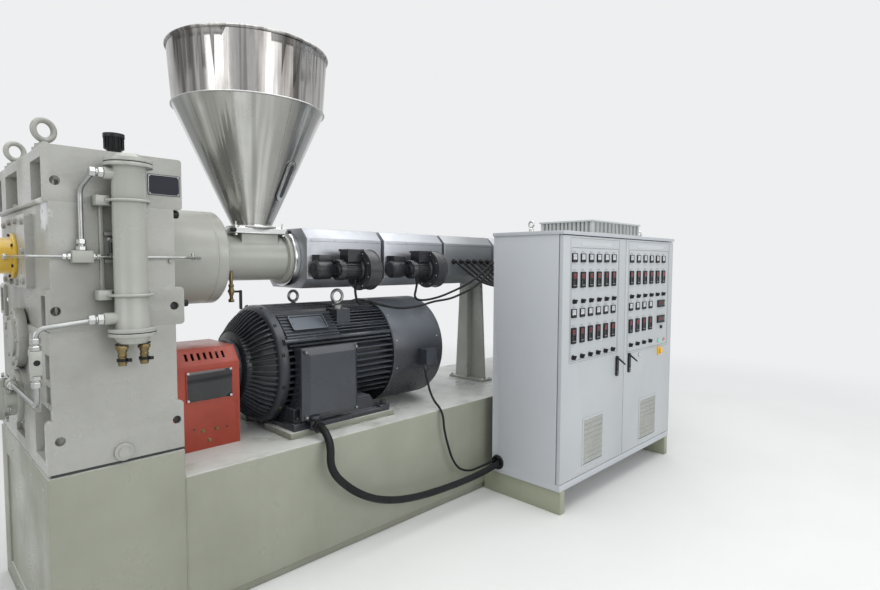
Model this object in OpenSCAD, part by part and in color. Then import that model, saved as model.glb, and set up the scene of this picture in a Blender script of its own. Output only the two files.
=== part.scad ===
// Single-screw plastic extruder: gear case, drive motor, feed hopper, heated
// barrel zones and control cabinet, on a common welded base.
// The origin is on the floor, straight under the middle of the feed hopper.
// +X runs from the gear case to the barrel outlet, and the controls face -Y.

/* [Base] */
// Width of the bench and of the pedestal
base_w = 1014; // [900:2:1200]
// Height of the pedestal under the gear case
pedestal_h = 738; // [700:1:800]
// Step down from the pedestal to the bench top
bench_drop = 122; // [105:1:135]
// Bench length past the last barrel zone
bench_tail = 60; // [20:5:200]
// Margin of the pedestal past the gear case foot
pedestal_margin = 2; // [0:1:20]

/* [Gear case] */
// Length of the case body along the screw
gear_l = 432; // [380:2:500]
// Height from the foot to the underside of the top block
gear_h = 989; // [950:1:1040]
// Height of the thick top block
top_block_h = 203; // [170:1:230]
// How far flanges and ears stand out from the body
flange_out = 24; // [15:1:32]
// Height of the input shaft above the foot
input_up = 213; // [200:1:225]
// Centre distance between the input and the output shaft
shaft_rise = 586; // [570:1:600]
// Height of the middle flange above the foot
split_up = 519; // [500:1:540]
// Height of the middle flange
split_h = 154; // [120:1:170]
// Depth of the pockets beside the bearing ribs
pocket_d = 70; // [40:1:90]
// How far the bearing plate and its cover stand out at the free end
mouth_t = 24; // [15:1:32]
// Radius of the holes through the ears
ear_hole_r = 17; // [12:0.5:22]

/* [Oil cooler] */
// Radius of the cooler's tube
cooler_r = 58; // [50:1:64]
// Length of the cooler between its end flanges
cooler_l = 644; // [560:2:660]
// Height of the cooler's lower flange above the case foot
cooler_up = 515; // [500:1:540]
// Radius of the oil lines
line_r = 9; // [7:0.5:11]

/* [Screw line] */
// Length of the thrust bearing housing
thrust_l = 370; // [300:2:450]
// Radius of the thrust bearing housing
thrust_r = 235; // [200:1:260]
// Length of the feed throat on the gear side of the hopper
throat_back = 228; // [210:1:260]
// Length of the feed throat on the barrel side of the hopper
throat_front = 174; // [165:1:220]
// Radius of the feed throat
throat_r = 122; // [110:1:135]
// Radius of the barrel
barrel_r = 75; // [60:1:90]
// Radius of the feed hole down to the screw
feed_r = 78; // [50:1:82]
// Thickness of the polished ring after the throat
ring_t = 35; // [20:1:50]

/* [Barrel zones] */
// Pitch of the zones
zone_pitch = 538; // [480:2:600]
// Gap between two zone covers
zone_gap = 26; // [15:1:40]
// Half width of a zone cover
cover_y = 217; // [200:1:240]
// Half height of a zone cover
cover_z = 168; // [155:1:185]
// Bevel along the cover's edges
cover_bevel = 56; // [40:1:70]
// Radius of the blower scroll
scroll_r = 113; // [100:1:120]
// Thickness of the blower scroll
scroll_t = 84; // [60:1:100]
// Radius of the blower motor
fan_motor_r = 54; // [40:1:60]
// Radius of the bolt circle on the outlet flange
outlet_pcd_r = 112; // [105:1:120]

/* [Hopper] */
// Outer radius at the hopper's top
hopper_r = 407; // [390:1:440]
// Outer radius where the cone meets the upper part
waist_r = 386; // [360:1:388]
// Outer radius of the cone's mouth
mouth_r = 108; // [100:1:120]
// Height of the hopper's upper part
hopper_h = 292; // [250:2:400]
// Height of the hopper's cone
cone_h = 631; // [480:1:660]
// Thickness of the hopper's sheet
sheet_t = 4; // [3:0.5:6]
// Thickness of the gate plate
gate_t = 8; // [6:0.5:12]
// Half length of the gate frame along the screw
gate_x = 147; // [130:1:170]
// Half width of the gate frame across the screw
gate_y = 105; // [95:1:125]

/* [Motor] */
// Shaft height of the motor
motor_shaft_h = 315; // [290:1:330]
// Outer radius over the cooling fins
motor_r = 325; // [300:1:328]
// Radius of the motor's frame under the fins
motor_core_r = 262; // [240:1:280]
// Length of the finned frame
motor_l = 714; // [650:2:800]
// Length of the drive-end bell
bell_l = 200; // [160:1:240]
// Length of the fan shroud
shroud_l = 436; // [340:2:460]
// Radius of the fan shroud
shroud_r = 333; // [329:1:342]
// Number of fins on each side of the motor
fins = 13; // [9:2:15]
// Thickness of a fin at its root
fin_t = 6; // [4:0.5:9]

/* [Terminal box] */
// Width of the terminal box
box_w = 354; // [320:2:380]
// Height of the terminal box
box_h = 378; // [340:2:390]
// Height of the box's upper edge above the shaft
box_up = 120; // [100:1:130]
// Distance of the box's cover from the motor's axis
box_out = 430; // [420:1:450]
// Bevel round the box's cover
box_bevel = 34; // [20:1:50]

/* [Coupling guard] */
// Half width of the guard
guard_y = 206; // [180:1:240]
// Height of the guard's front face
guard_h = 415; // [380:1:440]
// Rise of the guard's bevelled top
guard_rise = 75; // [50:1:95]

/* [Control cabinet] */
// Width of the cabinet
cab_w = 1600; // [1500:5:1800]
// Depth of the cabinet
cab_d = 522; // [450:2:600]
// Height of the cabinet's body
cab_h = 1578; // [1450:2:1650]
// Height of the outrigger beams under the cabinet
beam_h = 145; // [100:1:180]
// Gap between the bench and the cabinet's back
cab_gap = 77; // [50:1:120]
// Distance from the hopper's axis to the cabinet
cab_x = 1384; // [1330:2:1500]
// Thickness of the cabinet's walls
wall_t = 20; // [12:1:30]
// Gap between the two doors
door_gap = 6; // [5:0.5:9]
// Gap between a door's back and the cabinet's front edges
door_seat = 6; // [5:0.5:10]
// Width of the vent box on the roof
vent_w = 683; // [500:2:800]
// Height of the vent box
vent_h = 95; // [60:1:110]
// Radius of the pivot pins that carry the doors
pivot_r = 4; // [3:0.5:5]
// Depth of a door's folded edge
door_t = 24; // [18:1:32]
// Thickness of a door's sheet
door_sheet = 3; // [2:0.5:5]

/* [Hidden] */
$fn = 64;
fit = 0.3;
e = 1;
zones = 6;

// Heights that the pieces share
bench_h = pedestal_h - bench_drop;
plinth_h = 13;
gear_z = pedestal_h + plinth_h;
input_z = gear_z + input_up;
screw_z = input_z + shaft_rise;
split_z = gear_z + split_up;
top_z = gear_z + gear_h;
deck_z = top_z + top_block_h;
base_y = base_w / 2;

// Places along the screw
throat_x0 = -throat_back;
thrust_x0 = throat_x0 - thrust_l;
gear_x1 = thrust_x0;
gear_x0 = gear_x1 - gear_l;
gear_mid = (gear_x0 + gear_x1) / 2;
ring_x = throat_front;
zone_x = ring_x + ring_t;
barrel_x1 = zone_x + zones * zone_pitch + 120;
pedestal_x0 = gear_x0 - flange_out - pedestal_margin;
pedestal_x1 = gear_x1 + flange_out + pedestal_margin;
bench_x1 = zone_x + zones * zone_pitch + bench_tail;
gear_y = base_y;
foot_x = [gear_x0 - flange_out, gear_x1 + flange_out];
// The middle flange and the top block reach further over the screw line
head_x = [gear_x0 - flange_out + 14, gear_x1 + flange_out + 11];

// Places of the motor
motor_x0 = 30;
motor_x1 = motor_x0 + motor_l;
bell_x0 = motor_x0 - bell_l;
shroud_x1 = motor_x1 + shroud_l;
rail_h = input_z - bench_h - motor_shaft_h;

// Places of the hopper
gate_z = screw_z + throat_r + 8;
gate_low_t = 10;
gate_slot = gate_t + 2 * fit;
gate_top_t = 12;
gate_top_z = gate_z + gate_low_t + gate_slot + gate_top_t;
cone_z = gate_top_z;
collar_r = mouth_r + 24;
rim_z = cone_z + cone_h;
hopper_top = rim_z + hopper_h;

// Places of the cabinet
cab_y1 = -base_y - cab_gap;
cab_y0 = cab_y1 - cab_d;
cab_x1 = cab_x + cab_w;
cab_z0 = beam_h;
cab_z1 = beam_h + cab_h;
door_w = (cab_w - 3 * door_gap) / 2;
cab_floor_t = 40;
roof_t = 22;
door_z0 = cab_z0 + cab_floor_t + 5;
door_z1 = cab_z1 - roof_t - 6;
left_x = [cab_x, cab_x + door_gap + door_w];
right_x = [cab_x1 - door_gap - door_w, cab_x1];
wall_y0 = cab_y0 + door_t + door_seat;
pivot_in = 7;
pivot_y = cab_y0 + door_t - pivot_in;

function span(c, low, high) = [c + low, c + high];

function range(a, b, n) = [for (i = [0:n - 1]) a + (b - a) * i / (n - 1)];

// A block from its lowest to its highest corner
module block(x, y, z)
    translate([x[0], y[0], z[0]])
        cube([x[1] - x[0], y[1] - y[0], z[1] - z[0]]);

// A round bar along X, Y or Z
module bar_x(x, y, z, r)
    translate([x[0], y, z])
        rotate([0, 90, 0])
            cylinder(h = x[1] - x[0], r = r);

module bar_y(x, y, z, r)
    translate([x, y[0], z])
        rotate([-90, 0, 0])
            cylinder(h = y[1] - y[0], r = r);

module bar_z(x, y, z, r)
    translate([x, y, z[0]])
        cylinder(h = z[1] - z[0], r = r);

// An outline in Y and Z, pushed out along X
module along_x(x)
    translate([x[0], 0, 0])
        rotate([90, 0, 90])
            linear_extrude(x[1] - x[0])
                children();

// An outline in X and Z, pushed out along Y
module along_y(y)
    translate([0, y[1], 0])
        rotate([90, 0, 0])
            linear_extrude(y[1] - y[0])
                children();

// A profile of [radius, X], turned about a line along X
module turned_x(y, z)
    translate([0, y, z])
        rotate([0, 90, 0])
            rotate_extrude()
                children();

// A rectangle with four cut corners
module cut_rect(w, h, c)
    polygon([
        [-w + c, -h], [w - c, -h], [w, -h + c], [w, h - c],
        [w - c, h], [-w + c, h], [-w, h - c], [-w, -h + c]]);

// A bent pipe: straight bars with a ball at each bend
module pipe(points, r) {
    for (i = [0:len(points) - 2]) {
        step = points[i + 1] - points[i];
        run = norm(step);
        translate(points[i])
            rotate([0, acos(step[2] / run), atan2(step[1], step[0])])
                cylinder(h = run, r = r);
    }
    for (i = [1:1:len(points) - 2])
        translate(points[i])
            sphere(r = r * 1.2);
}

// A tube swept along a route, as one closed mesh
function route_dir(p, i) =
    let (a = p[max(i - 1, 0)], b = p[min(i + 1, len(p) - 1)])
        (b - a) / norm(b - a);

function ring_at(c, d, r, sides) =
    let (side = cross(d, [0, 0, 1]), up = [0, 0, 1])
    let (u = norm(side) > 0.05 ? side / norm(side) : [0, 1, 0])
    let (v = cross(u, d))
        [for (k = [0:sides - 1]) c + r * (cos(360 * k / sides) * u + sin(360 * k / sides) * v)];

module cord(p, r, sides = 8) {
    n = len(p);
    points = [for (i = [0:n - 1]) each ring_at(p[i], route_dir(p, i), r, sides)];
    walls = [for (i = [0:n - 2], k = [0:sides - 1])
        [i * sides + k, i * sides + (k + 1) % sides,
         (i + 1) * sides + (k + 1) % sides, (i + 1) * sides + k]];
    start = [for (k = [sides - 1:-1:0]) k];
    finish = [for (k = [0:sides - 1]) (n - 1) * sides + k];
    polyhedron(points, concat([start], walls, [finish]));
}

// Base

module base_bench()
    color("#b9bcab")
        difference() {
            block([pedestal_x1, bench_x1], [-base_y, base_y], [0, bench_h]);
            // Shallow channel along the bottom of each long side
            for (s = [-1, 1])
                block([pedestal_x1 + 60, bench_x1 - 60],
                      s > 0 ? [base_y - 12, base_y + e] : [-base_y - e, -base_y + 12],
                      [-e, 40]);
        }

module gearbox_pedestal()
    color("#b9bcab")
        difference() {
            block([pedestal_x0, pedestal_x1], [-base_y, base_y], [0, pedestal_h]);
            block([pedestal_x0 - e, pedestal_x0 + 10], [-base_y + 120, base_y - 120], [90, pedestal_h - 120]);
        }

module cabinet_beams()
    color("#a9ad9a")
        for (x = [cab_x + 12, cab_x1 - 62])
            difference() {
                block([x, x + 50], [cab_y0, -base_y], [0, beam_h]);
                block([x + 7, x + 43], [cab_y0 + 8, -base_y - 8], [-e, beam_h - 8]);
            }

// Gear case

boss_r = 118;
ear_t = 30;
foot_h = 46;
ear_h = 153;

module ear_plate(x, z, corner, y)
    along_y(y)
        offset(r = corner)
            offset(delta = -corner)
                translate([x[0], z[0]])
                    square([x[1] - x[0], z[1] - z[0]]);

module ear_holes(z, y)
    for (x = [gear_x0 + 18, gear_x1 - 4])
        bar_y(x, [y[0] - e, y[1] + e], z, ear_hole_r);

side_walls = [[-gear_y, -gear_y + ear_t], [gear_y - ear_t, gear_y]];
side_flanges = [[-gear_y, -gear_y + 106], [gear_y - 106, gear_y]];
side_pockets = [[-gear_y + ear_t, -gear_y + ear_t + 163], [gear_y - ear_t - 163, gear_y - ear_t]];

// Pockets in one end of the case, from its flange inwards
module end_pockets(x, inward, y, z)
    for (span_y = y)
        block(inward > 0 ? [x - e, x + pocket_d] : [x - pocket_d, x + e], span_y, z);

module gearbox_lower_case()
    color("#b5b8a8")
        difference() {
            union() {
                block(foot_x + [4, -4], [-gear_y + 14, gear_y - 14], [pedestal_h, gear_z]);
                block(foot_x, [-gear_y, gear_y], [gear_z, gear_z + foot_h]);
                block([gear_x0 - 4, gear_x1], [-gear_y, gear_y], [gear_z + foot_h - e, split_z]);
                for (y = side_walls)
                    ear_plate(foot_x, [gear_z, gear_z + foot_h + ear_h], 16, y);
                // Broad ribs that carry the foot
                for (y = [[-314, -94], [94, 314]])
                    block(foot_x, y, [gear_z + foot_h - e, gear_z + foot_h + ear_h]);
                // Mouth of the input bearing on both ends
                bar_x(foot_x, 0, input_z, boss_r);
            }
            for (y = side_walls)
                ear_holes(gear_z + foot_h + 73, y);
            end_pockets(foot_x[0], 1, side_pockets, [gear_z + foot_h, gear_z + foot_h + ear_h + 34]);
            end_pockets(foot_x[1], -1, side_pockets, [gear_z + foot_h, gear_z + foot_h + ear_h + 34]);
            end_pockets(gear_x0 - 4, 1, [[-gear_y + 20, -gear_y + 92]], [gear_z + 339, gear_z + 434]);
            end_pockets(gear_x0 - 4, 1, [[-gear_y + 20, -gear_y + 92]], [gear_z + 252, gear_z + 318]);
        }

module gearbox_upper_case()
    color("#b5b8a8")
        difference() {
            union() {
                block([gear_x0 + 5, gear_x1], [-gear_y, gear_y], [split_z, top_z]);
                for (y = side_flanges)
                    ear_plate(head_x, [split_z, split_z + split_h], 16, y);
                // Square plate of the output bearing
                along_x([gear_x0 - mouth_t, gear_x0 + 6])
                    translate([0, screw_z + 16])
                        offset(r = 14)
                            square([452, 262], center = true);
            }
            for (y = side_flanges)
                ear_holes(split_z + split_h / 2, y);
            for (y = [-gear_y + 20, gear_y - 92])
                block([head_x[0] - e, gear_x0 + 50], [y, y + 72], [split_z + 22, split_z + split_h - 22]);
        }

module gearbox_top_block()
    color("#b5b8a8")
        difference() {
            ear_plate(head_x, [top_z, deck_z], 12, [-gear_y, gear_y]);
            end_pockets(head_x[0], 1, [[-gear_y + 16, -310], [-40, 240], [350, gear_y - 16]],
                        [top_z + 15, deck_z - 45]);
            // Room for the thrust housing
            bar_x([gear_x1, head_x[1] + e], 0, screw_z, thrust_r + fit);
            for (y = side_walls)
                bar_y(gear_x0 + 28, [y[0] - e, y[1] + e], top_z + 76, ear_hole_r);
        }

// A round cover with a raised rim and a ring of bolts
module round_cover(x, z, r, t, dir, bolts) {
    s = dir < 0 ? [x - t, x] : [x, x + t];
    n = dir < 0 ? [x - t - 10, x - t] : [x + t, x + t + 10];
    b = dir < 0 ? [x - t - 9, x - t] : [x + t, x + t + 9];
    bar_x(s, 0, z, r);
    bar_x(n, 0, z, r * 0.62);
    for (i = [0:bolts - 1])
        bar_x(b, (r - 17) * sin(360 * i / bolts), z + (r - 17) * cos(360 * i / bolts), 9, $fn = 6);
}

mid_cover_z = (input_z + screw_z) / 2 - 49;

module bearing_covers()
    color("#b1b4a4") {
        round_cover(gear_x0 - 4, mid_cover_z, 124, 34, -1, 8);
        round_cover(gear_x1, mid_cover_z, 98, 12, 1, 8);
        round_cover(gear_x1 + flange_out, input_z, boss_r - 2, 12, 1, 8);
    }

module screw_end_guard()
    color("#e0a81c") {
        difference() {
            union() {
                bar_x([gear_x0 - mouth_t - 14, gear_x0 - mouth_t], 0, screw_z, 94);
                bar_x([gear_x0 - mouth_t - 260, gear_x0 - mouth_t - 14 + e], 0, screw_z, 74);
            }
            bar_x([gear_x0 - mouth_t - 254, gear_x0 - mouth_t + e], 0, screw_z, 70);
        }
    }

module eye(x, y, z, r, w, turn)
    translate([x, y, z])
        rotate([0, 0, turn]) {
            cylinder(h = 16, r = r * 0.65);
            translate([0, 0, 15])
                cylinder(h = 12, r1 = r * 0.55, r2 = w * 1.1);
            translate([0, 0, 22 + r])
                rotate([90, 0, 0])
                    rotate_extrude()
                        translate([r - w, 0])
                            circle(r = w, $fn = 24);
        }

eye_x = gear_x0 + 35;
motor_eyes = [[motor_x0 + 430, -140, 46], [motor_x0 + 303, 140, 40]];
eye_pad_z = input_z + 296;

module lifting_eyes() {
    color("#a6aa98")
        for (y = [-322, 280]) {
            bar_z(eye_x, y, [deck_z, deck_z + 10], 40);
            eye(eye_x, y, deck_z + 9, 48, 11, 20);
        }
    color("#c8ccce")
        for (p = motor_eyes)
            eye(p[0], p[1], eye_pad_z, p[2], 9, 0);
}

cap_x = gear_mid + 27;
cap_y = -gear_y + 40;

module filler_cap()
    color("#22242a") {
        bar_z(cap_x, cap_y + 40, [deck_z, deck_z + 22], 26);
        bar_z(cap_x, cap_y + 40, [deck_z + 21, deck_z + 70], 32);
        bar_z(cap_x, cap_y + 40, [deck_z + 66, deck_z + 82], 38);
        for (a = [0:24:359])
            translate([cap_x, cap_y + 40, deck_z + 24])
                rotate([0, 0, a])
                    translate([30, -3, 0])
                        cube([6, 6, 44]);
    }

// Oil cooler and its piping

cooler_x = gear_mid + 26;
cooler_y = -gear_y - 32 - cooler_r;
cooler_z = [gear_z + cooler_up, gear_z + cooler_up + cooler_l];

module oil_cooler()
    color("#b9bcac") {
        bar_z(cooler_x, cooler_y, cooler_z, cooler_r);
        bar_z(cooler_x, cooler_y, [cooler_z[1] - 34, cooler_z[1] - 22], 82);
        bar_z(cooler_x, cooler_y, [cooler_z[1] - 18, cooler_z[1] - 6], 82);
        bar_z(cooler_x, cooler_y, [cooler_z[1] - 24, cooler_z[1] - 16], 66);
        bar_z(cooler_x, cooler_y, [cooler_z[0], cooler_z[0] + 12], 82);
        bar_z(cooler_x, cooler_y, [cooler_z[0] - 16, cooler_z[0] - 4], 82);
        bar_z(cooler_x, cooler_y, [cooler_z[0] - 4, cooler_z[0]], 66);
        translate([cooler_x, cooler_y, cooler_z[0] - 44])
            cylinder(h = 29, r1 = 50, r2 = 66);
        translate([cooler_x, cooler_y, cooler_z[1] - 6])
            cylinder(h = 20, r1 = 58, r2 = 40);
        // Oil ports on the left
        bar_x([cooler_x - 96, cooler_x], cooler_y, cooler_z[0] + 52, 22);
        bar_x([cooler_x - 84, cooler_x], cooler_y, cooler_z[1] - 62, 22);
    }

bracket_z = [cooler_z[0] + 137, cooler_z[1] - 158];

module cooler_brackets()
    color("#b0b3a3") {
        for (z = bracket_z) {
            difference() {
                block([cooler_x - 104, cooler_x + 72], [cooler_y + 20, -gear_y], [z - 18, z + 18]);
                bar_z(cooler_x, cooler_y, [z - 19, z + 19], cooler_r + fit);
                block([cooler_x - 60, cooler_x + 60], [cooler_y + 8, cooler_y + 40], [z - 19, z + 19]);
            }
            // Strap round the front of the cooler
            difference() {
                bar_z(cooler_x, cooler_y, [z - 4, z + 4], cooler_r + 8);
                bar_z(cooler_x, cooler_y, [z - 5, z + 5], cooler_r + fit);
                block([cooler_x - 90, cooler_x + 90], [cooler_y + 20, cooler_y + 90], [z - 5, z + 5]);
            }
        }
        // Upright bar between the two brackets
        block([cooler_x - 82, cooler_x - 68], [-gear_y - 10, -gear_y],
              [bracket_z[0] + 17, bracket_z[1] - 17]);
    }

module hose_tails()
    color("#8f7440")
        for (x = [cooler_x - 38, cooler_x + 38])
            difference() {
                union() {
                    bar_z(x, cooler_y, [cooler_z[0] - 76, cooler_z[0] - 44], 17);
                    bar_z(x, cooler_y, [cooler_z[0] - 66, cooler_z[0] - 54], 23, $fn = 6);
                    bar_z(x, cooler_y, [cooler_z[0] - 128, cooler_z[0] - 75], 14);
                    for (z = [cooler_z[0] - 124, cooler_z[0] - 110, cooler_z[0] - 96])
                        translate([x, cooler_y, z])
                            cylinder(h = 8, r1 = 14, r2 = 17);
                }
                bar_z(x, cooler_y, [cooler_z[0] - 129, cooler_z[0] - 60], 9);
            }

port_low = [cooler_x - 96, cooler_y, cooler_z[0] + 52];
port_high = [cooler_x - 84, cooler_y, cooler_z[1] - 62];
drop_x = gear_x0 - flange_out - 38;
block_c = [gear_x0 + 98, -gear_y - 25, screw_z - 5];
valve_z = [gear_z + 389, gear_z + 472];
pump_y = -60;
pump_z = input_z + 65;

module oil_lines()
    color("#c3c5ba") {
        pipe([port_low, port_low + [-12, 0, 0], [drop_x + 26, port_low[1], port_low[2] - 8],
              [drop_x + 6, port_low[1], port_low[2] - 26], [drop_x, port_low[1], port_low[2] - 50],
              [drop_x, port_low[1], valve_z[1]]], line_r);
        pipe([[drop_x, port_low[1], valve_z[0]], [drop_x, port_low[1], pump_z + 34],
              [drop_x, port_low[1] + 34, pump_z], [drop_x, pump_y - 40, pump_z]], line_r);
        pipe([port_high, port_high + [-14, 0, 0], port_high + [-25, 0, -5], port_high + [-36, 10, -26],
              [block_c[0] + 3, block_c[1] - 12, port_high[2] - 86],
              [block_c[0], block_c[1], port_high[2] - 128], block_c + [0, 0, 22]], line_r);
        pipe([block_c + [-33, 0, 0], [gear_x0 - mouth_t - 42, block_c[1], block_c[2]],
              [gear_x0 - mouth_t - 42, -74, block_c[2]]], 5);
        pipe([block_c + [33, 0, 0], [gear_x1 + 38, block_c[1], block_c[2]],
              [gear_x1 + 218, -thrust_r - 3, block_c[2]]], 5);
    }

module oil_blocks()
    color("#adb0a2") {
        block(span(block_c[0], -33, 33), [block_c[1] - 25, -gear_y], span(block_c[2], -22, 22));
        block(span(drop_x, -16, 16), span(port_low[1], -20, 20), valve_z);
    }

module oil_pump()
    color("#a9ad9c") {
        bar_x([gear_x0 - flange_out - 20, gear_x0 - flange_out], 0, input_z, boss_r - 6);
        bar_x([gear_x0 - flange_out - 60, gear_x0 - flange_out - 19], 0, input_z, 80);
        block([gear_x0 - flange_out - 150, gear_x0 - flange_out - 59], [-62, 62],
              span(input_z, -80, 80));
        bar_y(drop_x, [pump_y - 40, pump_y + 20], pump_z, 20);
        bar_x([gear_x0 - flange_out - 170, gear_x0 - flange_out - 149], 0, input_z, 40);
    }

// Screw line

module thrust_housing()
    color("#b7baaa")
        turned_x(0, screw_z)
            polygon([
                [0, thrust_x0], [thrust_r - 14, thrust_x0], [thrust_r - 4, thrust_x0 + 40],
                [thrust_r, thrust_x0 + 60], [thrust_r, throat_x0 - 70], [thrust_r - 3, throat_x0 - 66],
                [thrust_r - 3, throat_x0 - 62], [thrust_r, throat_x0 - 58], [thrust_r, throat_x0 - 12],
                [thrust_r - 12, throat_x0], [0, throat_x0]]);

module feed_throat()
    color("#b7baaa")
        difference() {
            union() {
                turned_x(0, screw_z)
                    polygon([
                        [0, throat_x0], [throat_r + 44, throat_x0], [throat_r + 44, throat_x0 + 22],
                        [throat_r + 2, throat_x0 + 22], [throat_r, throat_x0 + 30],
                        [throat_r, throat_front - 26], [throat_r + 24, throat_front - 22],
                        [throat_r + 24, throat_front], [0, throat_front]]);
                block([-gate_x + 42, gate_x - 42], [-feed_r - 16, feed_r + 16], [screw_z, gate_z]);
            }
            bar_z(0, 0, [screw_z - 20, gate_z + e], feed_r);
        }

module throat_ring()
    color("#d5d7d6")
        turned_x(0, screw_z)
            polygon([
                [0, ring_x], [throat_r + 34, ring_x], [throat_r + 38, ring_x + 4],
                [throat_r + 38, zone_x - 4], [throat_r + 34, zone_x], [0, zone_x]]);

module gate_frame()
    color("#cfd1d0")
        difference() {
            block([-gate_x, gate_x], [-gate_y, gate_y], [gate_z, gate_top_z]);
            // Slot that the plate slides in, open at the front
            block([-gate_x + 22 - fit, gate_x - 22 + fit], [-gate_y - e, gate_y - 12],
                  span(gate_z + gate_low_t, 0, gate_slot));
            bar_z(0, 0, [gate_z - e, gate_top_z + e], feed_r);
        }

module gate_plate()
    color("#dfe1e1") {
        block([-gate_x + 22, gate_x - 22], [-gate_y - 3, gate_y - 16],
              span(gate_z + gate_low_t + fit, 0, gate_t));
        block([-gate_x, gate_x], [-gate_y - 11, -gate_y - 2], span(gate_z + gate_low_t, -8, gate_t + 10));
        for (s = [-1, 1])
            bar_x(s < 0 ? [-gate_x - 26, -gate_x] : [gate_x, gate_x + 26], -gate_y - 8,
                  gate_z + gate_low_t + 5, 11);
    }

module hopper_cone()
    color("#cdd0cf")
        rotate_extrude($fn = 96)
            polygon([
                [feed_r + 8, cone_z], [collar_r, cone_z], [collar_r, cone_z + 10],
                [mouth_r, cone_z + 10], [mouth_r, cone_z + 22], [waist_r, rim_z - 6], [waist_r + 6, rim_z - 6],
                [waist_r + 6, rim_z], [waist_r - sheet_t, rim_z], [mouth_r - sheet_t, cone_z + 24],
                [mouth_r - sheet_t, cone_z + 10], [feed_r + 8, cone_z + 10]]);

module hopper_cylinder()
    color("#cdd0cf") {
        rotate_extrude($fn = 96)
            polygon([
                [waist_r - sheet_t, rim_z], [waist_r, rim_z], [hopper_r, hopper_top],
                [hopper_r - sheet_t, hopper_top]]);
        translate([0, 0, hopper_top])
            rotate_extrude($fn = 96)
                translate([hopper_r, 0])
                    circle(r = 9, $fn = 20);
    }

// The pane lies on the cone's outside, along its slope
cone_run = [waist_r - mouth_r, rim_z - 6 - (cone_z + 22)];
cone_slope = atan2(cone_run[0], cone_run[1]);
glass_mid = 0.38;

module sight_glass()
    color("#39424a")
        rotate([0, 0, -62])
            translate([mouth_r + glass_mid * cone_run[0], 0, cone_z + 22 + glass_mid * cone_run[1]])
                rotate([0, cone_slope, 0])
                    translate([fit, 0, 0])
                        rotate([0, 90, 0])
                            linear_extrude(6)
                                offset(r = 18)
                                    square([150, 0.1], center = true);

valve_x = throat_x0 + 58;
valve_y = -throat_r + 22;

module water_valve()
    color("#2a2c2e") {
        difference() {
            bar_z(valve_x, valve_y, [screw_z - 224, screw_z], 11);
            bar_x([valve_x - 40, valve_x + 40], 0, screw_z, throat_r + fit);
        }
        bar_z(valve_x, valve_y, [screw_z - 196, screw_z - 152], 18);
        bar_z(valve_x, valve_y, [screw_z - 232, screw_z - 214], 17, $fn = 6);
        // Lever that hangs beside the valve
        bar_x([valve_x, valve_x + 56], valve_y, screw_z - 176, 7);
        block(span(valve_x, 46, 56), span(valve_y, -9, 9), [screw_z - 270, screw_z - 168]);
    }

// Barrel, heated zones and blowers

module barrel()
    color("#8c8e8c")
        bar_x([zone_x, barrel_x1 - 46], 0, screw_z, barrel_r);

module outlet_flange()
    color("#a5a7a6")
        difference() {
            bar_x([barrel_x1 - 46, barrel_x1], 0, screw_z, 140);
            for (i = [0:7])
                bar_x([barrel_x1 - 47, barrel_x1 + e], outlet_pcd_r * cos(45 * i + 22.5),
                      screw_z + outlet_pcd_r * sin(45 * i + 22.5), 11);
            bar_x([barrel_x1 - 30, barrel_x1 + e], 0, screw_z, 50);
        }

module barrel_supports()
    color("#aeb1a1")
        for (i = [3, zones]) {
            x = zone_x + i * zone_pitch;
            block([x - 60, x + 60], [-170, 170], [bench_h, bench_h + 16]);
            block([x - 50, x + 50], [-9, 9], [bench_h + 15, screw_z - cover_z - 60]);
            difference() {
                along_x([x - 9, x + 9])
                    polygon([
                        [-150, bench_h + 15], [150, bench_h + 15], [100, screw_z],
                        [-100, screw_z]]);
                bar_x([x - 10, x + 10], 0, screw_z, barrel_r + fit);
            }
        }

module zone_cover(i) {
    x0 = zone_x + (i - 1) * zone_pitch + (i == 1 ? 0 : zone_gap / 2);
    x1 = zone_x + i * zone_pitch - zone_gap / 2;
    difference() {
        translate([0, 0, screw_z])
            along_x([x0, x1])
                cut_rect(cover_y, cover_z, cover_bevel);
        bar_x([x0 - e, x1 + e], 0, screw_z, barrel_r + fit);
    }
}

module zone_covers()
    color("#cfd1cf")
        for (i = [1:zones])
            zone_cover(i);

blower_y = -cover_y - 116;
blower_z = screw_z - 64;

module blower(i) {
    x = zone_x + (i - 1) * zone_pitch;
    scroll_x = [x + 262, x + 262 + scroll_t];
    difference() {
        union() {
            bar_x(scroll_x, blower_y, blower_z, scroll_r);
            // Outlet duct of the scroll, into the cover
            block(scroll_x, [blower_y, -cover_y - fit], span(blower_z, 20, scroll_r - 6));
        }
        bar_x([scroll_x[0] - e, scroll_x[0] + 24], blower_y, blower_z, 80);
    }
    bar_x([scroll_x[0] + 4, scroll_x[0] + 30], blower_y, blower_z, 62);
    bar_x([scroll_x[0] - 118, scroll_x[0] + 10], blower_y, blower_z, fan_motor_r);
    bar_x([scroll_x[0] - 150, scroll_x[0] - 117], blower_y, blower_z, fan_motor_r + 4);
    block([scroll_x[0] - 100, scroll_x[0] + 6], span(blower_y, -40, 40),
          span(blower_z, fan_motor_r - 8, fan_motor_r + 62));
    // Intake can beside the motor
    bar_x([scroll_x[0] - 256, scroll_x[0] - 150], -cover_y - 56, blower_z, 52);
    block([scroll_x[0] - 230, scroll_x[0] - 140], [-cover_y - 74, -cover_y - fit],
          span(blower_z, 40, 84));
    block([scroll_x[0] - 160, scroll_x[0] - 60], [blower_y, -cover_y - fit], span(blower_z, -30, 30));
}

module blowers()
    color("#26282c")
        for (i = [1, 2, 4, 5, 6])
            blower(i);

// Motor

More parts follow.
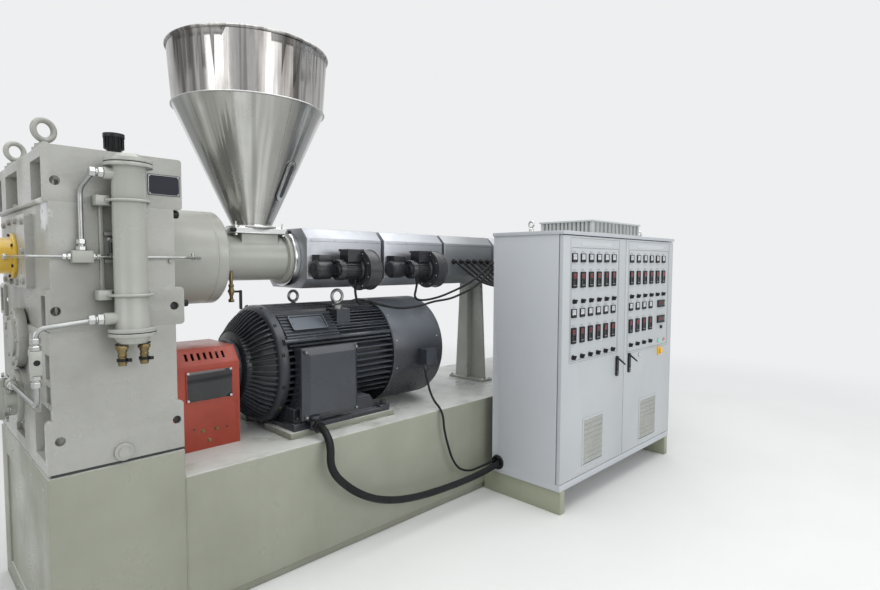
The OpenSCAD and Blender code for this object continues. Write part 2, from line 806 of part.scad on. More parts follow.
module fin_outline() {
    circle(r = motor_core_r, $fn = 96);
    intersection() {
        circle(r = motor_r, $fn = 96);
        union() {
            for (z = range(-motor_core_r * 0.78, motor_core_r * 0.78, fins))
                translate([-motor_r, z - fin_t / 2])
                    square([2 * motor_r, fin_t]);
            for (y = range(-motor_core_r * 0.62, motor_core_r * 0.62, fins - 2))
                translate([y - fin_t / 2, 0])
                    square([fin_t, motor_r]);
        }
    }
}

module motor_body()
    color("#2b2f34")
        difference() {
            union() {
                translate([0, 0, input_z])
                    along_x([motor_x0, motor_x1])
                        fin_outline();
                // Pads that carry the lifting eyes
                for (p = motor_eyes)
                    block(span(p[0], -42, 42), span(p[1], -32, 32), [input_z + 176, eye_pad_z]);
            }
            for (p = motor_eyes)
                bar_z(p[0], p[1], [eye_pad_z, input_z + motor_r], p[2] * 0.65 + 2);
        }

module motor_end_bell()
    color("#2b2f34") {
        turned_x(0, input_z)
            polygon([
                [0, bell_x0], [150, bell_x0], [150, bell_x0 + 26], [196, bell_x0 + 40],
                [196, bell_x0 + 62], [250, bell_x0 + 100], [290, motor_x0 - 34],
                [306, motor_x0 - 28], [306, motor_x0], [0, motor_x0]]);
        for (a = [0:15:345])
            translate([0, 0, input_z])
                rotate([a, 0, 0])
                    along_y([-4, 4])
                        polygon([
                            [bell_x0 + 38, 190], [bell_x0 + 64, 214], [bell_x0 + 100, 262],
                            [motor_x0 - 30, 300], [motor_x0 - 30, 180], [bell_x0 + 60, 180]]);
        // Shaft stub into the coupling guard
        bar_x([guard_x1 - 2, bell_x0 + e], 0, input_z, 42);
    }

module fan_shroud()
    color("#2e3237")
        difference() {
            turned_x(0, input_z)
                polygon([
                    [0, motor_x1], [shroud_r, motor_x1], [shroud_r, shroud_x1 - 26],
                    [shroud_r - 9, shroud_x1 - 8], [shroud_r - 26, shroud_x1], [0, shroud_x1]]);
            for (r = [60:32:260])
                turned_x(0, input_z)
                    translate([r, shroud_x1 - 8])
                        square([18, 10]);
        }

box_y = -box_out;
box_x = [motor_x0 + 26, motor_x0 + 26 + box_w];
box_z = [input_z + box_up - box_h, input_z + box_up];
gland_x = box_x[0] + 76;
gland_z = box_z[0] - 35;
foot_top = input_z - 0.78 * motor_core_r - fin_t;
rail_z = bench_h + rail_h;
foot_plate_t = 24;
foot_sides = [[-372, -120], [120, 372]];

module terminal_box()
    color("#2c3036") {
        difference() {
            union() {
                block(box_x + [10, -10], [box_y + 50, -motor_core_r + 40], box_z + [8, -8]);
                // Small junction box on the shroud
                block(span(motor_x1, 203, 293), [-shroud_r - 64, -shroud_r + 40],
                      span(input_z, -78, 21));
            }
            bar_x([motor_x0, motor_x1], 0, input_z, motor_r + fit);
            bar_x([motor_x1, shroud_x1], 0, input_z, shroud_r + fit);
            // Room for the motor's foot
            block([motor_x0 - 40, box_x[1] + 40], [-372 - fit, 0], [bench_h, foot_top + fit]);
        }
        // Bevelled cover
        hull() {
            block(box_x, [box_y + 30, box_y + 51], box_z);
            block(box_x + [box_bevel, -box_bevel], [box_y, box_y + 10], box_z + [box_bevel, -box_bevel]);
        }
        // Elbow of the cable gland in front of the foot
        bar_z(gland_x, box_y + 28, [gland_z - 21, box_z[0] + 20], 27);
        bar_y(gland_x, [box_y + 12 - 27, box_y + 28], gland_z, 25);
    }

module motor_feet()
    color("#25282c")
        for (y = foot_sides) {
            block([motor_x0 - 5, motor_x1 - 74], y, [rail_z, rail_z + foot_plate_t]);
            difference() {
                // Web under the frame, sloped at its free end
                along_y(y[0] < 0 ? [-330, -120] : [120, 330])
                    polygon([
                        [motor_x0 + 20, rail_z + foot_plate_t - e], [motor_x1 - 130, rail_z + foot_plate_t - e],
                        [motor_x1 - 190, foot_top], [motor_x0 + 20, foot_top]]);
                bar_x([motor_x0 - e, motor_x1], 0, input_z, motor_core_r + fit);
            }
            for (x = [motor_x0 - 5, motor_x1 - 144])
                block([x, x + 70], y[0] < 0 ? [-372, -332] : [332, 372],
                      [rail_z + foot_plate_t - e, rail_z + foot_plate_t + 14]);
        }

module motor_rails()
    color("#b9bcab")
        for (y = foot_sides)
            block([motor_x0 - 30, motor_x1 - 50], [y[0] - 12, y[1] + 12], [bench_h, rail_z]);

// Coupling guard

guard_x0 = gear_x1 + flange_out + 26;
guard_x1 = bell_x0 - 15;

module guard_outline(t)
    polygon([
        [-guard_y + t, bench_h], [guard_y - t, bench_h], [guard_y - t, bench_h + guard_h],
        [guard_y - t - 62, bench_h + guard_h + guard_rise - t],
        [-guard_y + t + 62, bench_h + guard_h + guard_rise - t], [-guard_y + t, bench_h + guard_h]]);

window_x = [guard_x0 + 101, guard_x1 - 39];

module drive_coupling()
    color("#6d6f70") {
        bar_x([gear_x1 + flange_out + 22, guard_x1 - 3], 0, input_z, 42);
        bar_x([guard_x0 + 70, guard_x0 + 170], 0, input_z, 120);
        bar_x([guard_x0 + 186, guard_x0 + 286], 0, input_z, 120);
        bar_x([guard_x0 + 169, guard_x0 + 187], 0, input_z, 96);
    }

module coupling_guard()
    color("#a5402b")
        difference() {
            along_x([guard_x0, guard_x1])
                guard_outline(0);
            along_x([guard_x0 - e, guard_x1 + e])
                translate([0, -e])
                    guard_outline(4);
            block(window_x + [10, -10], [-guard_y - e, -guard_y + 5], span(bench_h + guard_h, -164, -38));
            for (i = [0:6])
                translate([guard_x1 - 70 - 30 * i, -guard_y + 31, bench_h + guard_h + guard_rise / 2])
                    rotate([50, 0, 0])
                        cube([12, 40, 24], center = true);
        }

module guard_window()
    color("#1d2124")
        block(window_x, [-guard_y - 5, -guard_y], span(bench_h + guard_h, -174, -28));

// Control cabinet

pivots = [cab_x + pivot_in, cab_x1 - pivot_in];

module cabinet_floor()
    color("#b4b7bb") {
        block([cab_x, cab_x1], [cab_y0, cab_y1], [cab_z0, cab_z0 + cab_floor_t]);
        for (x = pivots) {
            bar_z(x, pivot_y, [cab_z0 + cab_floor_t - e, door_z0 + 12], pivot_r, $fn = 32);
            bar_z(x, pivot_y, [cab_z0 + cab_floor_t - e, door_z0 - fit], pivot_r + 3, $fn = 32);
        }
    }

module cabinet_roof()
    color("#bfc2c6") {
        block([cab_x - 6, cab_x1 + 6], [cab_y0 - 6, cab_y1 + 6], [cab_z1 - roof_t, cab_z1]);
        for (x = pivots)
            bar_z(x, pivot_y, [door_z1 - 12, cab_z1 - roof_t + e], pivot_r, $fn = 32);
        eye(cab_x + 45, cab_y0 + cab_d / 2, cab_z1, 24, 6, 90);
        eye(cab_x1 - 45, cab_y0 + cab_d / 2, cab_z1, 24, 6, 90);
    }

side_z = [cab_z0 + cab_floor_t, cab_z1 - roof_t];
hole_y = cab_y1 - 50;
hole_z = cab_z0 + 69;
hole_r = 40;

module cabinet_walls()
    color("#b0b3b7")
        difference() {
            block([cab_x, cab_x1], [wall_y0, cab_y1], side_z);
            block([cab_x + wall_t, cab_x1 - wall_t], [wall_y0 - e, cab_y1 - wall_t], side_z + [-e, e]);
            bar_x([cab_x - e, cab_x + wall_t + e], hole_y, hole_z, hole_r);
        }

module mounting_plate()
    color("#c3c5c6") {
        block([cab_x + 70, cab_x1 - 70], [cab_y1 - wall_t - 30, cab_y1 - wall_t - 26],
              side_z + [90, -70]);
        for (x = [cab_x + 110, cab_x1 - 110], z = side_z + [130, -110])
            bar_y(x, [cab_y1 - wall_t - 27, cab_y1 - wall_t], z, 9);
    }

vent_x = [cab_x + 498, cab_x + 498 + vent_w];
vent_y = [cab_y0 + 90, cab_y1 - 22];

module roof_vent()
    color("#d2d4d8")
        difference() {
            block(vent_x, vent_y, [cab_z1, cab_z1 + vent_h]);
            for (x = range(vent_x[0] + 30, vent_x[1] - 54, 12))
                block([x, x + 24], [vent_y[0] - e, vent_y[0] + 8], span(cab_z1, 16, vent_h - 15));
            for (y = range(vent_y[0] + 24, vent_y[1] - 40, 12))
                block([vent_x[0] - e, vent_x[0] + 8], [y, y + 16], span(cab_z1, 12, vent_h - 11));
        }

// A meter, a controller, a knob and a lamp, standing on a door's sheet
module meter(x, z)
    block([x - 27, x + 27], [cab_y0 - 9, cab_y0], [z - 27, z + 27]);

module controller(x, z)
    block([x - 25, x + 25], [cab_y0 - 11, cab_y0], [z - 49, z + 49]);

module knob(x, z) {
    bar_y(x, [cab_y0 - 7, cab_y0], z, 15);
    block([x - 4, x + 4], [cab_y0 - 24, cab_y0 - 6], [z - 13, z + 13]);
}

module lamp(x, z, out)
    bar_y(x, [cab_y0 - out, cab_y0], z, 14);

// A swing handle on its long plate, popped out at the lower end
module handle(x) {
    z = door_z1 - 797;
    block([x - 15, x + 15], [cab_y0 - 12, cab_y0], [z - 138, z]);
    hull() {
        bar_x([x - 10, x + 10], cab_y0 - 14, z - 16, 10, $fn = 32);
        bar_x([x - 9, x + 9], cab_y0 - 64, z - 50, 8, $fn = 32);
    }
}

// A folded door: sheet with turned edges, and a hole for the pivot pin at each end
module door_leaf(x, pivot_x)
    difference() {
        block(x, [cab_y0, cab_y0 + door_t], [door_z0, door_z1]);
        block(x + [door_sheet, -door_sheet], [cab_y0 + door_sheet, cab_y0 + door_t + e],
              [door_z0 + door_sheet, door_z1 - door_sheet]);
        bar_z(pivot_x, pivot_y, [door_z0 - e, door_z1 + e], pivot_r + fit, $fn = 32);
    }

// Rows of instruments, counted down from the doors' upper edge
rows = door_z1 - 133;
row_z = [rows, rows - 134, rows - 266, rows - 338, rows - 475, rows - 609];
left_cols = range(left_x[0] + 124, left_x[1] - 177, 6);
right_cols = range(right_x[0] + 81, right_x[1] - 183, 6);

module louvre_slots(x, z)
    for (i = [0:9])
        block(x, [cab_y0 - e, cab_y0 + door_sheet + e], span(z + 31 * i, 0, 9));

module left_door()
    color("#c9cccd")
        difference() {
            door_leaf(left_x, pivots[0]);
            louvre_slots(left_x + [268, -288], door_z0 + 56);
        }

module right_door()
    color("#c9cccd")
        difference() {
            door_leaf(right_x, pivots[1]);
            louvre_slots(right_x + [264, -268], door_z0 + 42);
        }

module upper_rows(x) {
    meter(x, row_z[0]);
    controller(x, row_z[1]);
    knob(x, row_z[2]);
}

module lower_rows(x) {
    meter(x, row_z[3]);
    controller(x, row_z[4]);
    knob(x, row_z[5]);
}

module left_instruments()
    color("#2c2e31")
        for (x = left_cols) {
            upper_rows(x);
            lower_rows(x);
        }

module right_instruments()
    color("#2c2e31") {
        for (i = [0:5]) {
            upper_rows(right_cols[i]);
            if (i < 4)
                lower_rows(right_cols[i]);
        }
        // Two wide displays, a button, two lamps and the stop switch
        last = right_cols[5];
        block([last - 88, last + 36], [cab_y0 - 9, cab_y0], span(row_z[3], -27, 27));
        block([last - 88, last + 40], [cab_y0 - 9, cab_y0], span(row_z[4], -11, 46));
        lamp(last - 16, row_z[4] - 44, 12);
        lamp(last - 57, row_z[5] - 13, 14);
        lamp(last + 38, row_z[5] - 10, 14);
        bar_y(last - 43, [cab_y0 - 12, cab_y0], row_z[5] - 92, 24);
        bar_y(last - 43, [cab_y0 - 30, cab_y0 - 11], row_z[5] - 92, 18);
        lamp(right_cols[0] + 150, row_z[5] - 85, 14);
    }

module left_handle()
    color("#26282b")
        handle(left_x[1] - 105);

module right_handle()
    color("#26282b")
        handle(right_x[0] + 69);

// Cables: routes chosen by hand

motor_route = [
    [132, -445.3, 671], [132, -462, 671], [131, -488, 662], [129, -514, 645], [126, -538, 622],
    [121, -556, 596], [116, -567, 568], [112, -572, 535], [116, -578, 495], [140, -584, 445], [188, -586, 392],
    [250, -588, 338], [330, -590, 285], [425, -592, 240], [540, -595, 205], [670, -598, 182],
    [810, -602, 170], [950, -608, 166], [1090, -618, 170], [1210, -630, 182], [1310, -640, 198],
    [1400, -646, 213]];

fan_route = [
    [960, -378, 885.7], [960, -378, 862], [958, -386, 830], [957, -402, 785], [955, -432, 715],
    [955, -470, 665], [957, -508, 634], [961, -535, 585], [968, -541, 505], [990, -546, 415], [1030, -553, 305],
    [1085, -562, 232], [1165, -577, 200], [1260, -592, 205], [1340, -606, 218], [1400, -614, 226]];

heater_start = [1388, 1461, 1534, 1607, 1680, 1753];
heater_end = [1640, 1670, 1700, 1730, 1760, 1790];

function heater_route(i) =
    let (a = heater_start[i], d = heater_end[i] - a)
        [[a, -217.3, 1536], [a, -238, 1536], [a + 0.15 * d, -282, 1490], [a + 0.45 * d, -360, 1405],
         [a + 0.7 * d, -440, 1370], [a + 0.95 * d, -520, 1360], [a + d, -558, 1360], [a + d, -583.7, 1360]];

blower_routes = [
    [[450, -333, 1431.7], [450, -333, 1400], [447, -337, 1360], [450, -346, 1318], [470, -351, 1294],
     [500, -352, 1304], [535, -354, 1306], [567, -356, 1294], [665, -365, 1268], [767, -375, 1254],
     [880, -395, 1261], [995, -420, 1285], [1109, -450, 1301], [1199, -480, 1334], [1272, -510, 1371],
     [1331, -538, 1423], [1400, -549, 1480], [1440, -560, 1495], [1440, -583.7, 1495]],
    [[930, -333, 1431.7], [930, -333, 1402], [916, -338, 1360], [900, -346, 1322], [915, -360, 1298],
     [965, -385, 1296], [1050, -410, 1312], [1150, -438, 1346], [1240, -472, 1388], [1330, -512, 1450],
     [1410, -543, 1520], [1452, -558, 1536], [1452, -583.7, 1536]]];

module motor_cable()
    color("#1b1c1f")
        cord(motor_route, 20);

module fan_cable()
    color("#1b1c1f")
        cord(fan_route, 7);

module heater_cables()
    color("#1b1c1f")
        for (i = [0:5])
            cord(heater_route(i), 8);

module blower_cables()
    color("#1b1c1f")
        for (route = blower_routes)
            cord(route, 7);

base_bench();
gearbox_pedestal();
cabinet_beams();
gearbox_lower_case();
gearbox_upper_case();
gearbox_top_block();
bearing_covers();
screw_end_guard();
lifting_eyes();
filler_cap();
oil_cooler();
cooler_brackets();
hose_tails();
oil_lines();
oil_blocks();
oil_pump();
thrust_housing();
feed_throat();
throat_ring();
gate_frame();
gate_plate();
hopper_cone();
hopper_cylinder();
sight_glass();
barrel();
outlet_flange();
barrel_supports();
zone_covers();
blowers();
water_valve();
drive_coupling();
coupling_guard();
guard_window();
motor_body();
motor_end_bell();
fan_shroud();
terminal_box();
motor_feet();
motor_rails();
cabinet_floor();
cabinet_roof();
cabinet_walls();
mounting_plate();
roof_vent();
left_door();
right_door();
left_instruments();
right_instruments();
left_handle();
right_handle();
motor_cable();
fan_cable();
heater_cables();
blower_cables();
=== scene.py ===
"""Looks of a single-screw plastic extruder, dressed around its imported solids."""

from __future__ import annotations

import logging
import math
from dataclasses import dataclass, field
from enum import Enum
from typing import Callable, Iterable, Sequence

import bmesh
import bpy
from mathutils import Matrix, Vector


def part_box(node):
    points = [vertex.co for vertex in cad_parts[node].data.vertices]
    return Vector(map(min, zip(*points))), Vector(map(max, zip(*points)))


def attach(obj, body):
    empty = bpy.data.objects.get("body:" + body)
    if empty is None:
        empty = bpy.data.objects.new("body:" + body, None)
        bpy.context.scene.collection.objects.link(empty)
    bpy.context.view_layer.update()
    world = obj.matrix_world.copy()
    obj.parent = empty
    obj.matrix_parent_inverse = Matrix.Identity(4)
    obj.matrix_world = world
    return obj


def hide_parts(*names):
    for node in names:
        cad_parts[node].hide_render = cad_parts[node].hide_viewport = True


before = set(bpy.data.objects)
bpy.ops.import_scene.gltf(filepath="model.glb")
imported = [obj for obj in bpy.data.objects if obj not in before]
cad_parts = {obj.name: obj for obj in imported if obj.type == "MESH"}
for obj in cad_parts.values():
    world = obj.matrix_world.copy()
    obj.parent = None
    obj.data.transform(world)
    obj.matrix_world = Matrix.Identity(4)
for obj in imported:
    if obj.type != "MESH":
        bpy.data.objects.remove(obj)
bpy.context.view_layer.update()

Point = Sequence[float]
Colour = tuple[float, float, float]
Tree = bpy.types.NodeTree
Socket = bpy.types.NodeSocket
log = logging.getLogger("extruder")

# Places that several sub-assemblies share, in metres
SCREW_Z = 1.550
MOTOR_Z = 0.964
BENCH_FRONT = -0.507
BENCH_TOP = 0.616
DOOR_FRONT = -1.106
CABINET_BACK = -0.584
HEATER_OUTLETS = (1.388, 1.461, 1.534, 1.607, 1.680, 1.753)
HEATER_GLANDS = (1.640, 1.670, 1.700, 1.730, 1.760, 1.790)
BLOWER_LEADS = (0.450, 0.930)


class Axis(Enum):
    """A direction of the row frame."""

    X = Vector((1, 0, 0))
    Y = Vector((0, 1, 0))
    Z = Vector((0, 0, 1))
    FRONT = Vector((0, -1, 0))
    GEAR_END = Vector((-1, 0, 0))
    DOWN = Vector((0, 0, -1))


class Head(Enum):
    """Kinds of screw heads."""

    HEX = "hexagon"
    CAP = "socket cap"


class Body(Enum):
    """The bodies that pieces ride on."""

    FRAME = "frame"
    GATE = "gate"
    LEFT_DOOR = "left_door"
    RIGHT_DOOR = "right_door"


def srgb(red: int, green: int, blue: int) -> Colour:
    """Turns a colour of 0 to 255 into the linear values of a shader."""

    def linear(value: float) -> float:
        """One channel."""
        return value / 12.92 if value <= 0.04045 else ((value + 0.055) / 1.055) ** 2.4

    return tuple(linear(channel / 255) for channel in (red, green, blue))


def lerp(a: float, b: float, t: float) -> float:
    """The value at share t between a and b."""
    return a + (b - a) * t


def spread(low: float, high: float, count: int) -> list[float]:
    """Even steps from low to high, both ends included."""
    return [lerp(low, high, i / (count - 1)) for i in range(count)]


def soft_rect(low: tuple[float, float], high: tuple[float, float], radius: float,
              steps: int = 4) -> list[tuple]:
    """The outline of a rectangle with round corners.

    Args:
        low: Its lowest corner.
        high: Its highest corner.
        radius: The radius of its corners.
        steps: Stretches in each corner.

    Returns:
        The points of the outline.
    """
    (u0, v0), (u1, v1) = low, high
    corners = ((u1 - radius, v1 - radius, 0), (u0 + radius, v1 - radius, 90), (u0 + radius, v0 + radius, 180),
               (u1 - radius, v0 + radius, 270))
    return [(u + radius * math.cos(math.radians(start + 90 * k / steps)),
             v + radius * math.sin(math.radians(start + 90 * k / steps)))
            for u, v, start in corners for k in range(steps + 1)]


def round_rect(u: float, v: float, half_u: float, half_v: float, radius: float, steps: int = 4) -> list[tuple]:
    """The outline of a rectangle with round corners, from its middle and half sizes."""
    return soft_rect((u - half_u, v - half_v), (u + half_u, v + half_v), radius, steps)


def inset_rect(low: Point, high: Point, inset: float, radius: float) -> list[tuple]:
    """The outline of a rectangle with round corners, set in from two corners."""
    return soft_rect((low[0] + inset, low[1] + inset), (high[0] - inset, high[1] - inset), radius)


def on_circle(centre: Point, axis: Vector, radius: float, count: int, turn: float = 0.0) -> list[Vector]:
    """Even places on a circle round an axis; turn is in degrees."""
    place = Matrix.Translation(centre) @ turned(axis)
    angles = (math.radians(turn) + 2 * math.pi * k / count for k in range(count))
    return [place @ Vector((radius * math.cos(a), radius * math.sin(a), 0)) for a in angles]


def bent(points: Sequence[Point], radius: float, steps: int = 7) -> list[Vector]:
    """A tube's line whose corners are bent to a radius."""
    nodes = [Vector(p) for p in points]
    line = [nodes[0]]
    for before, corner, after in zip(nodes, nodes[1:], nodes[2:]):
        back, ahead = before - corner, after - corner
        cut = min(radius * math.tan((math.pi - back.angle(ahead)) / 2), back.length * 0.48, ahead.length * 0.48)
        a, b = corner + back.normalized() * cut, corner + ahead.normalized() * cut
        line += [a * (1 - t) ** 2 + corner * 2 * t * (1 - t) + b * t * t
                 for t in (k / steps for k in range(steps + 1))]
    return [*line, nodes[-1]]


# Shader effects shared by the finishes


class Effects:
    """Node groups that more than one finish uses, each built once."""

    built: dict[str, Tree] = {}

    @classmethod
    def start(cls, name: str, takes: dict[str, float | None], gives: str) -> tuple:
        """Opens a new group.

        Args:
            name: The group's name.
            takes: Its inputs; None stands for a vector.
            gives: The name of its output.

        Returns:
            The tree, its input node and its output node.
        """
        tree = bpy.data.node_groups.new(name, "ShaderNodeTree")
        for label, value in takes.items():
            kind = "NodeSocketVector" if value is None else "NodeSocketFloat"
            socket = tree.interface.new_socket(label, in_out="INPUT", socket_type=kind)
            if value is not None:
                socket.default_value = value
        tree.interface.new_socket(gives, in_out="OUTPUT", socket_type="NodeSocketFloat")
        source = tree.nodes.new("NodeGroupInput")
        sink = tree.nodes.new("NodeGroupOutput")
        cls.built[name] = tree
        return tree, source, sink

    @staticmethod
    def feed(tree: Tree, value: float | Socket, socket: Socket) -> None:
        """Gives a socket its number, or links another socket to it."""
        if isinstance(value, (int, float)):
            socket.default_value = value
        else:
            tree.links.new(value, socket)

    @staticmethod
    def noise(tree: Tree, vector: Socket, scale: float | Socket, detail: float = 4.0,
              rough: float = 0.55) -> Socket:
        """A noise texture in a tree; scale is a number or a socket."""
        node = tree.nodes.new("ShaderNodeTexNoise")
        tree.links.new(vector, node.inputs["Vector"])
        Effects.feed(tree, scale, node.inputs["Scale"])
        node.inputs["Detail"].default_value = detail
        node.inputs["Roughness"].default_value = rough
        return node.outputs["Fac"]

    @staticmethod
    def math(tree: Tree, kind: str, a: float | Socket, b: float | Socket | None = None,
             clamp: bool = False) -> Socket:
        """A math node; a and b are numbers or sockets."""
        node = tree.nodes.new("ShaderNodeMath")
        node.operation = kind
        node.use_clamp = clamp
        for index, value in enumerate((a, b)):
            if value is not None:
                Effects.feed(tree, value, node.inputs[index])
        return node.outputs[0]

    @staticmethod
    def window(tree: Tree, value: Socket, low: float | Socket, high: float | Socket) -> Socket:
        """Maps low to 0 and high to 1, softly; low and high are numbers or sockets."""
        node = tree.nodes.new("ShaderNodeMapRange")
        node.interpolation_type = "SMOOTHSTEP"
        tree.links.new(value, node.inputs["Value"])
        for label, bound in (("From Min", low), ("From Max", high)):
            Effects.feed(tree, bound, node.inputs[label])
        return node.outputs["Result"]

    @classmethod
    def cloud(cls) -> Tree:
        """Uneven tone: a mask of soft patches."""
        if "Cloud" not in cls.built:
            tree, source, sink = cls.start("Cloud", {"Vector": None, "Scale": 3.0, "Low": 0.4, "High": 0.65},
                                           "Mask")
            broad = cls.noise(tree, source.outputs["Vector"], source.outputs["Scale"], 6.0, 0.6)
            tree.links.new(cls.window(tree, broad, source.outputs["Low"], source.outputs["High"]),
                           sink.inputs[0])
        return cls.built["Cloud"]

    @classmethod
    def grain(cls) -> Tree:
        """Cast or sprayed surface: a height of coarse lumps and fine specks."""
        if "Grain" not in cls.built:
            tree, source, sink = cls.start("Grain", {"Vector": None, "Coarse": 40.0, "Fine": 300.0,
                                                     "Fine share": 0.4}, "Height")
            coarse = cls.noise(tree, source.outputs["Vector"], source.outputs["Coarse"], 2.0)
            fine = cls.noise(tree, source.outputs["Vector"], source.outputs["Fine"], 2.0)
            part = cls.math(tree, "MULTIPLY", fine, source.outputs["Fine share"])
            tree.links.new(cls.math(tree, "ADD", coarse, part), sink.inputs[0])
        return cls.built["Grain"]

    @classmethod
    def dust(cls) -> Tree:
        """Settled dust: a mask on faces that look up."""
        if "Settled dust" not in cls.built:
            tree, source, sink = cls.start("Settled dust", {"Vector": None, "Scale": 6.0, "Reach": 0.6}, "Mask")
            geometry = tree.nodes.new("ShaderNodeNewGeometry")
            split = tree.nodes.new("ShaderNodeSeparateXYZ")
            tree.links.new(geometry.outputs["Normal"], split.inputs[0])
            up = cls.window(tree, split.outputs["Z"], source.outputs["Reach"], 1.0)
            patches = cls.noise(tree, source.outputs["Vector"], source.outputs["Scale"], 8.0, 0.65)
            tree.links.new(cls.math(tree, "MULTIPLY", up, cls.window(tree, patches, 0.08, 0.56)),
                           sink.inputs[0])
        return cls.built["Settled dust"]

    @classmethod
    def painted_recess_shade(cls) -> Tree:
        """Painted shade in corners and pockets: a mask where a place is closed in."""
        if "Painted recess shade" not in cls.built:
            tree, source, sink = cls.start("Painted recess shade", {"Vector": None, "Distance": 0.16, "Break up": 5.0},
                                           "Mask")
            around = tree.nodes.new("ShaderNodeAmbientOcclusion")
            around.samples = 4
            tree.links.new(source.outputs["Distance"], around.inputs["Distance"])
            closed = cls.window(tree, cls.math(tree, "SUBTRACT", 1.0, around.outputs["AO"]), 0.3, 1.0)
            patches = cls.noise(tree, source.outputs["Vector"], source.outputs["Break up"], 5.0, 0.6)
            tree.links.new(cls.math(tree, "MULTIPLY", closed, cls.window(tree, patches, 0.1, 0.5)),
                           sink.inputs[0])
        return cls.built["Painted recess shade"]

    @classmethod
    def chipped(cls) -> Tree:
        """Paint chipped off round a spot: a broken mask inside a radius."""
        if "Chipped spot" not in cls.built:
            takes = {"Vector": None, "X": 0.0, "Y": 0.0, "Z": 0.0, "Radius": 0.12, "Break up": 26.0}
            tree, source, sink = cls.start("Chipped spot", takes, "Mask")
            spot = tree.nodes.new("ShaderNodeCombineXYZ")
            for label in "XYZ":
                tree.links.new(source.outputs[label], spot.inputs[label])
            away = tree.nodes.new("ShaderNodeVectorMath")
            away.operation = "DISTANCE"
            tree.links.new(source.outputs["Vector"], away.inputs[0])
            tree.links.new(spot.outputs[0], away.inputs[1])
            near = cls.window(tree, cls.math(tree, "DIVIDE", away.outputs["Value"], source.outputs["Radius"]),
                              1.0, 0.2)
            broken = cls.noise(tree, source.outputs["Vector"], source.outputs["Break up"], 6.0, 0.7)
            reach = cls.math(tree, "ADD", broken, cls.math(tree, "MULTIPLY", near, 0.35))
            tree.links.new(cls.math(tree, "MULTIPLY", cls.window(tree, reach, 0.66, 0.72), near, True),
                           sink.inputs[0])
        return cls.built["Chipped spot"]

    @classmethod
    def edge_wear(cls) -> Tree:
        """Rubbed edges: a mask that follows sharp edges and breaks up."""
        if "Edge wear" not in cls.built:
            tree, source, sink = cls.start("Edge wear", {"Vector": None, "Radius": 0.003, "Break up": 30.0},
                                           "Mask")
            bevel = tree.nodes.new("ShaderNodeBevel")
            bevel.samples = 4
            tree.links.new(source.outputs["Radius"], bevel.inputs["Radius"])
            geometry = tree.nodes.new("ShaderNodeNewGeometry")
            dot = tree.nodes.new("ShaderNodeVectorMath")
            dot.operation = "DOT_PRODUCT"
            tree.links.new(bevel.outputs["Normal"], dot.inputs[0])
            tree.links.new(geometry.outputs["Normal"], dot.inputs[1])
            bend = cls.math(tree, "SUBTRACT", 1.0, dot.outputs["Value"])
            edge = cls.window(tree, bend, 0.02, 0.16)
            spots = cls.noise(tree, source.outputs["Vector"], source.outputs["Break up"], 6.0, 0.7)
            tree.links.new(cls.math(tree, "MULTIPLY", edge, cls.window(tree, spots, 0.42, 0.6)), sink.inputs[0])
        return cls.built["Edge wear"]

    @classmethod
    def runs(cls) -> Tree:
        """Faint runs down a wall: a mask stretched along Z."""
        if "Runs" not in cls.built:
            tree, source, sink = cls.start("Runs", {"Vector": None, "Across": 9.0, "Down": 0.8}, "Mask")
            split = tree.nodes.new("ShaderNodeSeparateXYZ")
            join = tree.nodes.new("ShaderNodeCombineXYZ")
            tree.links.new(source.outputs["Vector"], split.inputs[0])
            for label, factor in (("X", "Across"), ("Y", "Across"), ("Z", "Down")):
                scaled = cls.math(tree, "MULTIPLY", split.outputs[label], source.outputs[factor])
                tree.links.new(scaled, join.inputs[label])
            streak = cls.noise(tree, join.outputs[0], 1.0, 5.0, 0.6)
            tree.links.new(cls.window(tree, streak, 0.45, 0.7), sink.inputs[0])
        return cls.built["Runs"]

    @classmethod
    def painted_reflections(cls) -> Tree:
        """Painted reflections of a mirror-like shell round Z: a mask of dark streaks that follows its slope."""
        if "Painted reflections" not in cls.built:
            tree, source, sink = cls.start("Painted reflections", {"Vector": None, "Round": 3.0, "Down": 0.7}, "Mask")
            split = tree.nodes.new("ShaderNodeSeparateXYZ")
            flat = tree.nodes.new("ShaderNodeCombineXYZ")
            unit = tree.nodes.new("ShaderNodeVectorMath")
            unit.operation = "NORMALIZE"
            parts = tree.nodes.new("ShaderNodeSeparateXYZ")
            join = tree.nodes.new("ShaderNodeCombineXYZ")
            tree.links.new(source.outputs["Vector"], split.inputs[0])
            for label in "XY":
                tree.links.new(split.outputs[label], flat.inputs[label])
            tree.links.new(flat.outputs[0], unit.inputs[0])
            tree.links.new(unit.outputs[0], parts.inputs[0])
            for label in "XY":
                scaled = cls.math(tree, "MULTIPLY", parts.outputs[label], source.outputs["Round"])
                tree.links.new(scaled, join.inputs[label])
            tree.links.new(cls.math(tree, "MULTIPLY", split.outputs["Z"], source.outputs["Down"]),
                           join.inputs["Z"])
            streak = cls.noise(tree, join.outputs[0], 1.0, 3.0, 0.5)
            tree.links.new(cls.window(tree, streak, 0.46, 0.6), sink.inputs[0])
        return cls.built["Painted reflections"]

    @classmethod
    def brushing(cls) -> Tree:
        """Lines of a brushed or ground surface: a value stretched along one axis."""
        if "Brushing" not in cls.built:
            tree, source, sink = cls.start(
                "Brushing", {"Vector": None, "X lines": 4.0, "Y lines": 400.0, "Z lines": 400.0}, "Value"
            )
            split = tree.nodes.new("ShaderNodeSeparateXYZ")
            join = tree.nodes.new("ShaderNodeCombineXYZ")
            tree.links.new(source.outputs["Vector"], split.inputs[0])
            for label in "XYZ":
                scaled = cls.math(tree, "MULTIPLY", split.outputs[label], source.outputs[f"{label} lines"])
                tree.links.new(scaled, join.inputs[label])
            tree.links.new(cls.noise(tree, join.outputs[0], 1.0, 3.0, 0.6), sink.inputs[0])
        return cls.built["Brushing"]


